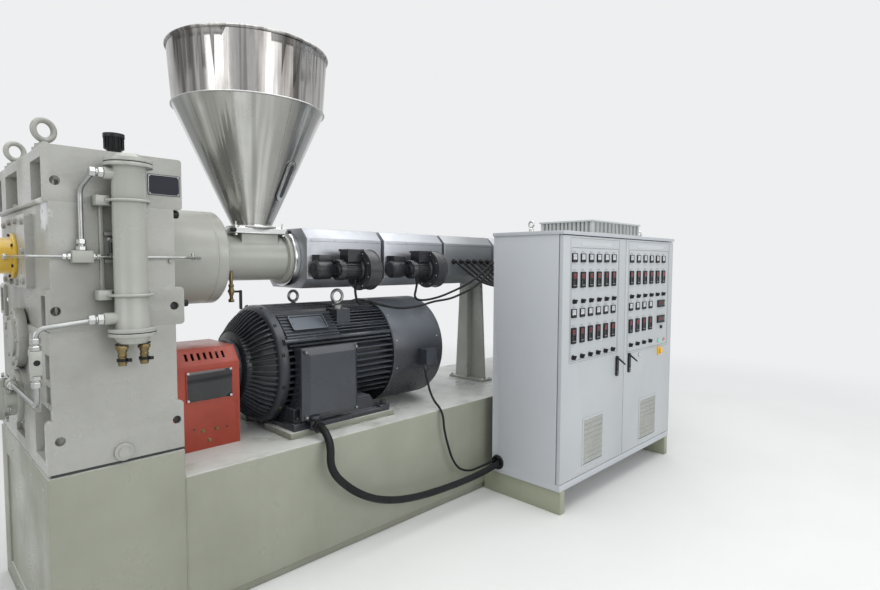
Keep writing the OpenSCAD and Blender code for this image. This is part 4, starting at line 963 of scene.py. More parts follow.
@dataclass
class Studio:
    """Floor, lamps, sky and the camera at the photograph's place."""

    eye: Point = (-1.469, -2.890, 1.528)
    yaw: float = 44.457
    pitch: float = 3.308
    roll: float = 0.242
    lens: float = 22.78
    sky: float = 0.62
    floor_half: float = 60.0
    middle: Point = (1.1, -0.3, 0.0)
    fade_span: tuple[float, float] = (3.0, 7.5)
    backdrop: Colour = srgb(238, 239, 240)
    lamps: list = field(default_factory=lambda: [
        ("Ceiling", (1.0, -0.8, 6.5), (9.0, 6.0), (1.0, -0.3, 0.5), 330.0),
        ("Front", (2.0, -8.0, 3.6), (8.0, 3.5), (1.4, 0.0, 1.0), 190.0),
        ("Gear end", (-7.0, -2.5, 3.6), (4.0, 3.0), (0.3, 0.0, 1.1), 90.0),
    ])

    def camera(self) -> None:
        """Makes the camera."""
        yaw, pitch, roll = (math.radians(a) for a in (self.yaw, self.pitch, self.roll))
        ahead = Vector((math.cos(yaw) * math.cos(pitch), math.sin(yaw) * math.cos(pitch), -math.sin(pitch)))
        right = Vector((math.sin(yaw), -math.cos(yaw), 0))
        up = right.cross(ahead)
        side = right * math.cos(roll) + up * math.sin(roll)
        top = up * math.cos(roll) - right * math.sin(roll)
        data = bpy.data.cameras.new("Camera")
        data.lens = self.lens
        data.sensor_width = 36.0
        data.clip_start, data.clip_end = 0.05, 300.0
        camera = bpy.data.objects.new("Camera", data)
        matrix = Matrix((side, top, -ahead)).transposed().to_4x4()
        matrix.translation = Vector(self.eye)
        camera.matrix_world = matrix
        bpy.context.scene.collection.objects.link(camera)
        bpy.context.scene.camera = camera

    def fade(self, graph: Graph) -> None:
        """Lets the far floor pass into the pale backdrop for the camera.

        Args:
            graph: The floor's material.
        """
        tree = graph.tree
        away = tree.nodes.new("ShaderNodeVectorMath")
        away.operation = "DISTANCE"
        away.inputs[1].default_value = self.middle
        tree.links.new(graph.place, away.inputs[0])
        far = Effects.window(tree, away.outputs["Value"], *self.fade_span)
        path = tree.nodes.new("ShaderNodeLightPath")
        glow = tree.nodes.new("ShaderNodeEmission")
        glow.inputs["Color"].default_value = (*self.backdrop, 1)
        mix = tree.nodes.new("ShaderNodeMixShader")
        tree.links.new(Effects.math(tree, "MULTIPLY", far, path.outputs["Is Camera Ray"]), mix.inputs[0])
        tree.links.new(graph.shader.outputs[0], mix.inputs[1])
        tree.links.new(glow.outputs[0], mix.inputs[2])
        tree.links.new(mix.outputs[0], tree.nodes["Material Output"].inputs["Surface"])

    def floor(self) -> None:
        """Makes the pale floor."""
        mesh = bpy.data.meshes.new("Floor")
        h = self.floor_half
        mesh.from_pydata([(-h, -h, 0), (h, -h, 0), (h, h, 0), (-h, h, 0)], [], [(0, 1, 2, 3)])
        graph = Graph("Pale floor", 0.6)
        cloud = graph.effect(Effects.cloud(), Scale=0.8, Low=0.3, High=0.8)
        graph.wire("Base Color", graph.tint(srgb(226, 226, 224), srgb(221, 221, 219), cloud))
        graph.shader.inputs["Specular IOR Level"].default_value = 0.15
        self.fade(graph)
        mesh.materials.append(graph.material)
        floor = bpy.data.objects.new("Floor", mesh)
        bpy.context.scene.collection.objects.link(floor)

    def world(self) -> None:
        """Makes a sky that is pale to the camera and soft on the object."""
        world = bpy.data.worlds.new("Hall")
        bpy.context.scene.world = world
        world.use_nodes = True
        tree = world.node_tree
        tree.nodes.clear()
        path = tree.nodes.new("ShaderNodeLightPath")
        seen = Effects.math(tree, "MAXIMUM", path.outputs["Is Camera Ray"],
                            Effects.math(tree, "MAXIMUM", path.outputs["Is Glossy Ray"],
                                         path.outputs["Is Transmission Ray"]))
        soft = tree.nodes.new("ShaderNodeBackground")
        soft.inputs["Color"].default_value = (0.93, 0.96, 1.0, 1)
        soft.inputs["Strength"].default_value = self.sky
        plain = tree.nodes.new("ShaderNodeBackground")
        plain.inputs["Color"].default_value = (*self.backdrop, 1)
        mix = tree.nodes.new("ShaderNodeMixShader")
        out = tree.nodes.new("ShaderNodeOutputWorld")
        tree.links.new(seen, mix.inputs[0])
        tree.links.new(soft.outputs[0], mix.inputs[1])
        tree.links.new(plain.outputs[0], mix.inputs[2])
        tree.links.new(mix.outputs[0], out.inputs[0])

    def light(self) -> None:
        """Makes the soft lamps."""
        for name, place, size, target, power in self.lamps:
            data = bpy.data.lights.new(name, "AREA")
            data.shape = "RECTANGLE"
            data.size, data.size_y = size
            data.energy = power
            lamp = bpy.data.objects.new(name, data)
            lamp.location = place
            lamp.rotation_mode = "QUATERNION"
            lamp.rotation_quaternion = (Vector(target) - Vector(place)).to_track_quat("-Z", "Y")
            bpy.context.scene.collection.objects.link(lamp)

    def build(self) -> None:
        """Makes all of it."""
        bpy.context.scene.view_settings.view_transform = "Standard"
        self.camera()
        self.floor()
        self.world()
        self.light()


# Sub-assemblies


@dataclass
class Base:
    """Bench, pedestal, cabinet beams and motor rails."""

    front: float = BENCH_FRONT
    bench_top: float = BENCH_TOP
    rail_front: float = -0.384
    rail_ends: tuple[float, float] = (0.0, 0.694)
    bead: float = 0.0022

    def weld(self, points: Sequence[Point]) -> list[Vector]:
        """A hand-laid bead: the line wanders a little."""
        line = []
        for a, b in zip(points, points[1:]):
            a, b = Vector(a), Vector(b)
            count = max(2, int((b - a).length / 0.012))
            line += [a.lerp(b, k / count) + Vector((0, 0, 0.0006 * math.sin(k * 1.7))) for k in range(count)]
        return [*line, Vector(points[-1])]

    def build(self) -> None:
        """Makes the steelwork and its weld seams."""
        rounded("base_bench", Palette.BENCH, 0.005, segments=3)
        rounded("gearbox_pedestal", Palette.BENCH, 0.005, segments=3)
        rounded("cabinet_beams", Palette.BEAM, 0.003)
        rounded("motor_rails", Palette.BENCH, 0.003)
        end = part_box("gearbox_pedestal")[1][0]
        welds = Shape()
        welds.tube(self.weld([(end, self.front + 0.0008, 0.004), (end, self.front + 0.0008, self.bench_top)]),
                   self.bead, 8)
        welds.tube(self.weld([(end + 0.001, self.front + 0.01, self.bench_top + 0.001),
                              (end + 0.001, -self.front - 0.01, self.bench_top + 0.001)]), self.bead * 1.6, 8)
        for y in (self.rail_front, -self.rail_front):
            out = -0.001 if y < 0 else 0.001
            for x in spread(self.rail_ends[0] + 0.05, self.rail_ends[1] - 0.13, 5):
                welds.tube(self.weld([(x, y + out, self.bench_top + 0.001),
                                      (x + 0.08, y + out, self.bench_top + 0.001)]), self.bead * 1.5, 8)
        welds.place("bench_welds", Palette.BENCH)
        lo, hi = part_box("gearbox_pedestal")
        screws = Shape()
        for y in spread(-0.43, 0.43, 5):
            for z in (0.045, hi[2] - 0.06):
                screws.dome_screw((lo[0], y, z), Axis.GEAR_END.value, 0.008, 0.004)
        screws.place("pedestal_panel_screws", Palette.ZINC)


@dataclass
class GearCase:
    """Gear case with its flange bolts, covers, eyes, cap and plates."""

    front: float = BENCH_FRONT
    plate_x: float = -1.054
    screw_z: float = SCREW_Z
    plate_seats: tuple = ((-0.200, 1.683), (-0.066, 1.690), (0.066, 1.690), (0.200, 1.683), (0.212, 1.566),
                          (0.200, 1.449), (0.066, 1.442), (-0.066, 1.442), (-0.200, 1.449), (-0.212, 1.566))
    label: tuple = ((-0.694, 1.793), (-0.570, 1.876))
    pocket_z: float = 1.755
    foot_z: float = 0.738
    ear_holes: tuple = ((-0.594, 0.870), (-0.594, 1.347))
    end_bolts: tuple = ((-0.984, 0.395, 0.900, 0.030, 0.014), (-0.964, 0.451, 1.135, 0.026, 0.014),
                        (-0.964, 0.451, 1.035, 0.026, 0.014), (-0.980, 0.451, 1.347, 0.032, 0.018),
                        (-1.034, 0.300, 1.232, 0.034, 0.020), (-1.034, 0.240, 1.170, 0.030, 0.018))

    def flange_bolts(self) -> None:
        """Hexagon heads in the pockets of the flanges."""
        bolts = Shape()
        up, out = Axis.Z.value, Axis.GEAR_END.value
        for y in (-0.405, 0.02, 0.18, 0.420):
            bolts.hex_bolt((-1.003, y, self.pocket_z), up, 0.036, 0.018)
            bolts.hex_bolt((-0.970, y, 1.815), out, 0.030, 0.016)
        for side in (-1, 1):
            for y in (0.350, 0.440):
                bolts.hex_bolt((-1.015, side * y, 0.797), up, 0.034, 0.018)
                bolts.hex_bolt((-0.613, side * y, 0.797), up, 0.034, 0.018)
            for x, y, z, across, high in self.end_bolts:
                bolts.hex_bolt((x, side * y, z), out, across, high)
        bolts.place("gear_case_flange_bolts", Palette.CAST)

    def bearing_plate(self) -> None:
        """Cap screws of the square plate and of the yellow end guard."""
        screws = Shape()
        for y, z in self.plate_seats:
            screws.cap_screw((self.plate_x, y, z), Axis.GEAR_END.value, 0.013, 0.011)
        screws.place("bearing_plate_screws", Palette.CAST)
        black = Shape()
        for seat in on_circle((self.plate_x - 0.014, 0, self.screw_z), Axis.GEAR_END.value, 0.084, 6, 30):
            black.cap_screw(seat, Axis.GEAR_END.value, 0.0065, 0.006)
        for side in (-1, 1):
            black.cap_screw((-0.5985, side * 0.484, 1.722), Axis.X.value, 0.016, 0.026)
            black.cap_screw((-0.563, side * 0.472, 1.354), Axis.X.value, 0.015, 0.026)
        black.place("black_cap_screws", Palette.BLACK)

    def plates(self) -> None:
        """The blank rating plate and its rivets."""
        low, high = self.label
        plate = Shape().extrude(soft_rect(low, high, 0.004), Axis.Y, self.front - 0.0016, self.front + 0.001)
        plate.place("blank_rating_plate", Palette.PLATE)
        inner = inset_rect(low, high, 0.004, 0.003)
        outer = inset_rect(low, high, 0.0028, 0.0035)
        rim = Shape().hoop(outer, inner, Axis.Y, self.front - 0.0020, self.front)
        for x in (low[0] + 0.008, high[0] - 0.008):
            for z in (low[1] + 0.008, high[1] - 0.008):
                rim.dome_screw((x, self.front - 0.0016, z), Axis.FRONT.value, 0.0028, 0.0016)
        rim.place("rating_plate_rim", Palette.ZINC)

    def plugs(self) -> None:
        """Side plug, drain boss, the dark strip in the gap over the pedestal, and dark discs in the ear holes
        as painted shade.
        """
        shape = Shape()
        shape.bar((-0.614, self.front + 0.001, 1.530), (-0.614, self.front - 0.008, 1.530), 0.009)
        shape.lathe([(0, 0), (0.034, 0), (0.034, 0.010), (0.031, 0.013), (0.020, 0.013), (0.020, 0.018),
                     (0, 0.018)], (-0.806, self.front + 0.001, 0.785), Axis.FRONT.value, 40)
        shape.place("case_plugs", Palette.CAST)
        dark = Shape()
        for side in (-1, 1):
            y = side * (abs(self.front) - 0.012)
            dark.box((-1.0415, y - 0.0018, self.foot_z + 0.0003), (-0.5705, y + 0.0018, self.foot_z + 0.0127))
        # Painted shade: dark discs that close the ear holes.
        for x, z in self.ear_holes:
            for side in (-1, 1):
                dark.bar((x, side * 0.489, z), (x, side * 0.480, z), 0.0172, 24)
        dark.place("case_gap_strips_and_hole_shade", Palette.DARK_LINE)

    def build(self) -> None:
        """Makes the gear case."""
        rounded("gearbox_lower_case", Palette.CAST, 0.006, segments=3)
        rounded("gearbox_upper_case", Palette.CAST, 0.006, segments=3)
        rounded("gearbox_top_block", Palette.CAST, 0.007, segments=3)
        for row in (("bearing_covers", Palette.CAST, 0.003), ("screw_end_guard", Palette.YELLOW, 0.002),
                    ("filler_cap", Palette.BLACK, 0.0018)):
            rounded(*row)
        eyes = Shape.of_node("lifting_eyes").clear(lambda c: c.x > -0.5)
        eyes.place("gear_case_eyes", Palette.CAST, smooth=50, stands_for=("lifting_eyes",))
        eyes = Shape.of_node("lifting_eyes").clear(lambda c: c.x < -0.5)
        eyes.place("motor_eyes", Palette.ZINC, smooth=50, stands_for=("lifting_eyes",))
        self.flange_bolts()
        self.bearing_plate()
        self.plates()
        self.plugs()


@dataclass
class OilCircuit:
    """Oil cooler, its brackets, tubes, blocks and the pump."""

    cooler: Point = (-0.788, -0.597)
    foot: float = 1.266
    head: float = 1.910
    line: float = 0.009
    thin: float = 0.005
    block: Point = (-0.932, -0.532, 1.545)
    drop_x: float = -1.092
    valve: tuple[float, float] = (1.140, 1.223)
    strap_z: tuple[float, float] = (1.403, 1.752)

    def nut_pair(self, shape: Shape, place: Point, axis: Vector, across: float) -> None:
        """A union nut, its sleeve and the nut behind it."""
        shape.nut(place, axis, across * 1.12, across * 0.62)
        after = Vector(place) + axis * across * 0.62
        shape.bar(after, after + axis * across * 0.22, across * 0.42, 18)
        shape.nut(after + axis * across * 0.22, axis, across, across * 0.7)

    def tubes(self) -> None:
        """Bent tubes with their nuts."""
        x, y = self.cooler
        left, down, up = Axis.GEAR_END.value, Axis.DOWN.value, Axis.Z.value
        tubes = Shape()
        low = bent([(x - 0.096, y, 1.318), (x - 0.110, y, 1.318), (self.drop_x, y, 1.296),
                    (self.drop_x, y, self.valve[1])], 0.055)
        tubes.tube(low, self.line, 16)
        tubes.tube(bent([(self.drop_x, y, self.valve[0]), (self.drop_x, y, 1.029), (self.drop_x, -0.1, 1.029)],
                        0.045), self.line, 16)
        b = self.block
        tubes.tube(bent([(x - 0.084, y, 1.848), (x - 0.118, y, 1.846), (b[0], b[1], 1.792),
                         (b[0], b[1], b[2] + 0.022)], 0.05), self.line, 16)
        tubes.tube(bent([(b[0] - 0.033, b[1], b[2]), (-1.096, b[1], b[2]), (-1.096, -0.070, b[2])], 0.012),
                   self.thin, 12)
        tubes.tube(bent([(b[0] + 0.033, b[1], b[2]), (-0.560, b[1], b[2]), (-0.381, -0.236, b[2])], 0.02),
                   self.thin, 12)
        tubes.place("oil_tubes", Palette.ZINC, smooth=60, stands_for=("oil_lines",))
        nuts = Shape()
        for place, axis, across in (
                ((x - 0.096, y, 1.318), left, 0.032),
                ((x - 0.084, y, 1.848), left, 0.030),
                ((self.drop_x, y, self.valve[1]), up, 0.028),
                ((self.drop_x, y, self.valve[0]), down, 0.028),
                ((self.drop_x, -0.102, 1.029), Axis.FRONT.value, 0.028),
                ((b[0], b[1], b[2] + 0.022), up, 0.027),
                ((b[0] - 0.033, b[1], b[2]), left, 0.018),
                ((b[0] + 0.033, b[1], b[2]), Axis.X.value, 0.018),
        ):
            self.nut_pair(nuts, place, axis, across)
        nuts.nut((-1.096, -0.096, b[2]), Axis.Y.value, 0.018, 0.014)
        nuts.lathe([(0, -0.012), (0.007, -0.010), (0.0115, -0.004), (0.0115, 0.004), (0.007, 0.010),
                    (0, 0.012)], (-1.096, -0.076, b[2]), Axis.Y.value, 20)
        nuts.nut((-0.470, -0.372, b[2]), Vector((0.518, 0.855, 0)), 0.018, 0.020)
        nuts.bar((-0.470, -0.372, b[2] - 0.004), (-0.470, -0.372, b[2] + 0.020), 0.006, 14)
        nuts.place("tube_nuts", Palette.BRIGHT)

    def gauge(self) -> None:
        """Level gauge on the upright bar: a glass between two blocks, in a folded bracket."""
        x, y = -0.812, -0.520
        bracket = Shape()
        for z in (1.528, 1.632):
            bracket.box((x - 0.042, y, z - 0.006), (x + 0.014, y + 0.013, z + 0.006))
        bracket.box((x + 0.004, y - 0.010, 1.528), (x + 0.014, y + 0.010, 1.632))
        bracket.round_edges(0.0012).place("gauge_bracket", Palette.CAST)
        ends = Shape()
        for z in (1.546, 1.604):
            ends.nut((x - 0.022, y - 0.004, z), Axis.Z.value, 0.020, 0.014)
            ends.nut((x - 0.022, y - 0.004, z + 0.002), Axis.FRONT.value, 0.015, 0.016)
        ends.place("gauge_ends", Palette.BRIGHT)
        Shape().bar((x - 0.022, y - 0.004, 1.560), (x - 0.022, y - 0.004, 1.604),
                    0.006).place("gauge_glass", Palette.PANE)

    def build(self) -> None:
        """Makes the oil circuit."""
        x, y = self.cooler
        rounded("oil_cooler", Palette.MACHINE, 0.002)
        gaskets = Shape()
        for low, high in ((self.head - 0.0235, self.head - 0.0165), (self.foot - 0.0045, self.foot + 0.0005)):
            gaskets.lathe([(0.060, low), (0.0795, low), (0.0795, high), (0.060, high)], (x, y, 0), Axis.Z.value,
                          64)
        gaskets.place("cooler_gaskets", Palette.BLACK)
        rounded("cooler_brackets", Palette.MACHINE, 0.0015)
        straps = Shape()
        for z in self.strap_z:
            arc = [(x + 0.069 * math.cos(a), y + 0.069 * math.sin(a), z)
                   for a in (math.radians(180 + 180 * k / 24) for k in range(25))]
            straps.tube([(x - 0.069, y + 0.060, z), *arc, (x + 0.069, y + 0.060, z)], 0.0055, 12)
            for side in (-1, 1):
                straps.nut((x + side * 0.069, y + 0.020, z), Axis.FRONT.value, 0.016, 0.008)
        straps.place("cooler_straps", Palette.MACHINE, smooth=60)
        rounded("hose_tails", Palette.BRASS, 0.0012)
        clamps = Shape()
        for side in (-0.038, 0.038):
            clamps.lathe([(0.0175, 0), (0.0195, 0.001), (0.0195, 0.011), (0.0175, 0.012)],
                         (x + side, y, self.foot - 0.112), Axis.Z.value, 32)
            clamps.box((x + side + 0.012, y - 0.024, self.foot - 0.112),
                       (x + side + 0.026, y - 0.012, self.foot - 0.100))
            clamps.lathe([(0.0215, 0), (0.0235, 0.003), (0.0215, 0.006)], (x + side, y, self.foot - 0.050),
                         Axis.Z.value, 32)
        clamps.place("hose_clamps", Palette.BLACK)
        rounded("oil_blocks", Palette.MACHINE, 0.0018)
        port = Shape().lathe([(0, 0.004), (0.007, 0.004), (0.007, 0), (0.010, 0), (0.010, 0.005), (0, 0.005)],
                             (self.drop_x, y - 0.0155, 1.184), Axis.FRONT.value, 24)
        port.place("valve_port", Palette.BLACK)
        rounded("oil_pump", Palette.MACHINE, 0.004)
        bolts = Shape().fasteners(Head.HEX, on_circle((-1.098, 0, MOTOR_Z), Axis.GEAR_END.value, 0.094, 8,
                                                      22.5), Axis.GEAR_END.value, 0.018, 0.008)
        for dy in (-0.046, 0.046):
            for dz in (-0.064, 0.064):
                bolts.cap_screw((-1.228, dy, MOTOR_Z + dz), Axis.GEAR_END.value, 0.010, 0.010)
        bolts.place("pump_bolts", Palette.BRIGHT)
        self.tubes()
        self.gauge()


@dataclass
class ScrewLine:
    """Thrust housing, feed throat, barrel, outlet and supports."""

    axis_z: float = SCREW_Z
    throat_x: float = -0.228
    ring_face: float = 0.174
    support_x: tuple[float, float] = (1.823, 3.437)
    bench_top: float = BENCH_TOP

    def build(self) -> None:
        """Makes the screw line."""
        for row in (("thrust_housing", Palette.MACHINE, 0.003), ("feed_throat", Palette.MACHINE, 0.003),
                    ("throat_ring", Palette.POLISHED, 0.002), ("barrel", Palette.BARE, 0.001),
                    ("outlet_flange", Palette.BARE, 0.003), ("barrel_supports", Palette.MACHINE, 0.003)):
            rounded(*row)
        screws = Shape().fasteners(Head.CAP, on_circle((self.throat_x + 0.022, 0, self.axis_z), Axis.X.value,
                                                       0.144, 12, 15), Axis.X.value, 0.011, 0.010)
        screws.place("throat_flange_screws", Palette.MACHINE)
        ring = Shape().fasteners(Head.CAP, on_circle((self.ring_face, 0, self.axis_z), Axis.GEAR_END.value,
                                                     0.134, 12, 15), Axis.GEAR_END.value, 0.008, 0.008)
        ring.place("throat_ring_screws", Palette.BRIGHT)
        line = Shape().lathe([(0.2352, 0), (0.2358, 0.0012), (0.2358, 0.0028), (0.2352, 0.004)],
                             (-0.590, 0, self.axis_z), Axis.X.value, 96)
        line.place("housing_paint_line", Palette.MACHINE)
        bolts = Shape()
        for x in self.support_x:
            for side in (-1, 1):
                for dx in (-0.04, 0.04):
                    bolts.hex_bolt((x + dx, side * 0.16, self.bench_top + 0.016), Axis.Z.value, 0.018, 0.010)
        bolts.place("support_bolts", Palette.BRIGHT)
        self.valve()

    def valve(self) -> None:
        """The small water valve under the throat: pipe, body, nuts and lever."""
        x, y, top = -0.170, -0.100, 1.480
        pipe = Shape().bar((x, y, top - 0.154), (x, y, top), 0.009, 20)
        pipe.nut((x, y, top - 0.160), Axis.Z.value, 0.028, 0.016)
        pipe.nut((x, y, top - 0.082), Axis.Z.value, 0.026, 0.014)
        pipe.lathe([(0, 0), (0.011, 0.001), (0.013, 0.012), (0.0175, 0.018), (0.0175, 0.026), (0.013, 0.032),
                    (0.011, 0.044), (0, 0.044)], (x, y, top - 0.126), Axis.Z.value, 24)
        pipe.place("water_valve_body", Palette.BRASS, smooth=45, stands_for=("water_valve",))
        lever = Shape().bar((x, y, top - 0.106), (x + 0.054, y, top - 0.106), 0.0055, 16)
        lever.extrude(soft_rect((y - 0.009, top - 0.200), (y + 0.009, top - 0.099), 0.008), Axis.X, x + 0.046,
                      x + 0.055)
        lever.round_edges(0.0015, above=50).place("water_valve_lever", Palette.BLACK)


@dataclass
class Hopper:
    """Hopper with its sight glass, gate frame and sliding gate."""

    foot_z: float = 1.7106
    rim_z: float = 2.3416
    mouth: float = 0.108
    waist: float = 0.386
    mouth_z: float = 1.7326
    glass_turn: float = -62.0
    glass_share: float = 0.38
    gate: tuple[float, float] = (0.147, 0.105)
    gate_z: float = 1.680

    def on_cone(self) -> Matrix:
        """The place of the sight glass: X runs down the slope, Y across, Z outwards."""
        run = self.waist - self.mouth
        rise = self.rim_z - 0.006 - self.mouth_z
        slope = math.atan2(run, rise)
        turn = Matrix.Rotation(math.radians(self.glass_turn), 4, "Z")
        spot = Matrix.Translation((self.mouth + self.glass_share * run, 0,
                                   self.mouth_z + self.glass_share * rise))
        return turn @ spot @ Matrix.Rotation(slope, 4, "Y") @ Matrix.Rotation(math.pi / 2, 4, "Y")

    def sight_glass(self) -> None:
        """The slot-shaped pane with its polished rim and screws."""
        place = self.on_cone()
        pane = Shape().extrude(round_rect(0, 0, 0.093, 0.0165, 0.016), Axis.Z, 0.0003, 0.006)
        pane.moved(place).place("sight_pane", Palette.PANE, stands_for=("sight_glass",))
        outer = round_rect(0, 0, 0.112, 0.036, 0.034, 8)
        inner = round_rect(0, 0, 0.093, 0.017, 0.0165, 8)
        rim = Shape().hoop(outer, inner, Axis.Z, -0.002, 0.0075).round_edges(0.002, above=60)
        for x in (-0.103, -0.034, 0.034, 0.103):
            for side in (-1, 1):
                if abs(x) < 0.1:
                    rim.dome_screw((x, side * 0.0265, 0.0075), Axis.Z.value, 0.003, 0.0018)
        for x in (-0.1025, 0.1025):
            rim.dome_screw((x, 0, 0.0075), Axis.Z.value, 0.003, 0.0018)
        rim.moved(place).place("sight_rim", Palette.POLISHED)
        line = Shape().hoop(round_rect(0, 0, 0.1145, 0.0385, 0.036, 8), outer, Axis.Z, -0.002, 0.0012)
        line.moved(place).place("sight_rim_line", Palette.DARK_LINE)

    def seams(self) -> None:
        """Weld seams of the cone, the bright joint ring and the bright edge of the collar."""
        ring = Shape()
        ring.lathe([(self.waist + 0.0062, -0.0065), (self.waist + 0.0086, -0.004),
                    (self.waist + 0.0086, -0.002), (self.waist + 0.0062, 0.0005)], (0, 0, self.rim_z),
                   Axis.Z.value, 128)
        for turn in (95, 275):
            a = math.radians(turn)
            line = [(r * math.cos(a), r * math.sin(a), z) for r, z in
                    ((lerp(self.mouth, self.waist, t) + 0.0002, lerp(self.mouth_z, self.rim_z - 0.008, t))
                     for t in spread(0.02, 0.995, 24))]
            ring.tube(line, 0.0011, 6)
        ring.place("hopper_seams", Palette.BRIGHT, smooth=60)
        collar = Shape().lathe([(self.mouth + 0.0245, 0), (self.mouth + 0.026, 0.0015),
                                (self.mouth + 0.026, 0.0085), (self.mouth + 0.0245, 0.010)],
                               (0, 0, self.foot_z), Axis.Z.value, 96)
        collar.place("hopper_collar_edge", Palette.BRIGHT, smooth=60)

    def gate_fittings(self) -> None:
        """Studs, washers, nuts and rails of the gate frame."""
        gx, gy = self.gate
        top = self.foot_z
        studs = Shape()
        for x in (-gx + 0.012, gx - 0.012):
            for y in (-gy + 0.016, gy - 0.016):
                studs.bar((x, y, top - 0.004), (x, y, top + 0.030), 0.0045, 14)
                studs.lathe([(0, 0), (0.010, 0), (0.010, 0.0016), (0, 0.0016)], (x, y, top), Axis.Z.value, 20)
                studs.nut((x, y, top + 0.0016), Axis.Z.value, 0.016, 0.010)
                studs.nut((x, y, self.gate_z - 0.012), Axis.Z.value, 0.016, 0.010)
        studs.place("gate_studs", Palette.BRIGHT)
        rails = Shape()
        for side in (-1, 1):
            rails.box((-gx + 0.03, side * (gy - 0.012) - 0.006, top),
                      (gx - 0.03, side * (gy - 0.012) + 0.006, top + 0.006))
        rails.round_edges(0.0015).place("gate_rails", Palette.POLISHED)

    def build(self) -> None:
        """Makes the hopper."""
        rounded("hopper_cone", Palette.HOPPER, 0.0012, above=60)
        Shape.of_node("hopper_cylinder").place("hopper_cylinder_dressed", Palette.HOPPER_SHELL, smooth=40,
                                               stands_for=("hopper_cylinder",))
        rounded("gate_frame", Palette.POLISHED, 0.0012)
        plate = Shape.of_node("gate_plate").clear(lambda c: abs(c.x) > self.gate[0] + 0.0005)
        plate.round_edges(0.0012).place("gate_plate_dressed", Palette.POLISHED, Body.GATE,
                                        stands_for=("gate_plate",))
        ends = Shape()
        for side in (-1, 1):
            x = side * self.gate[0]
            ends.lathe([(0, 0), (0.0105, 0.0), (0.0105, 0.003), (0.0095, 0.004), (0.0105, 0.006),
                        (0.0105, 0.023), (0.008, 0.026), (0, 0.026)],
                       (x, -self.gate[1] - 0.008, self.gate_z + 0.015), Axis.X.value if side > 0
                       else Axis.GEAR_END.value, 24)
        ends.place("gate_grips", Palette.BLACK, Body.GATE)
        self.sight_glass()
        self.seams()
        self.gate_fittings()


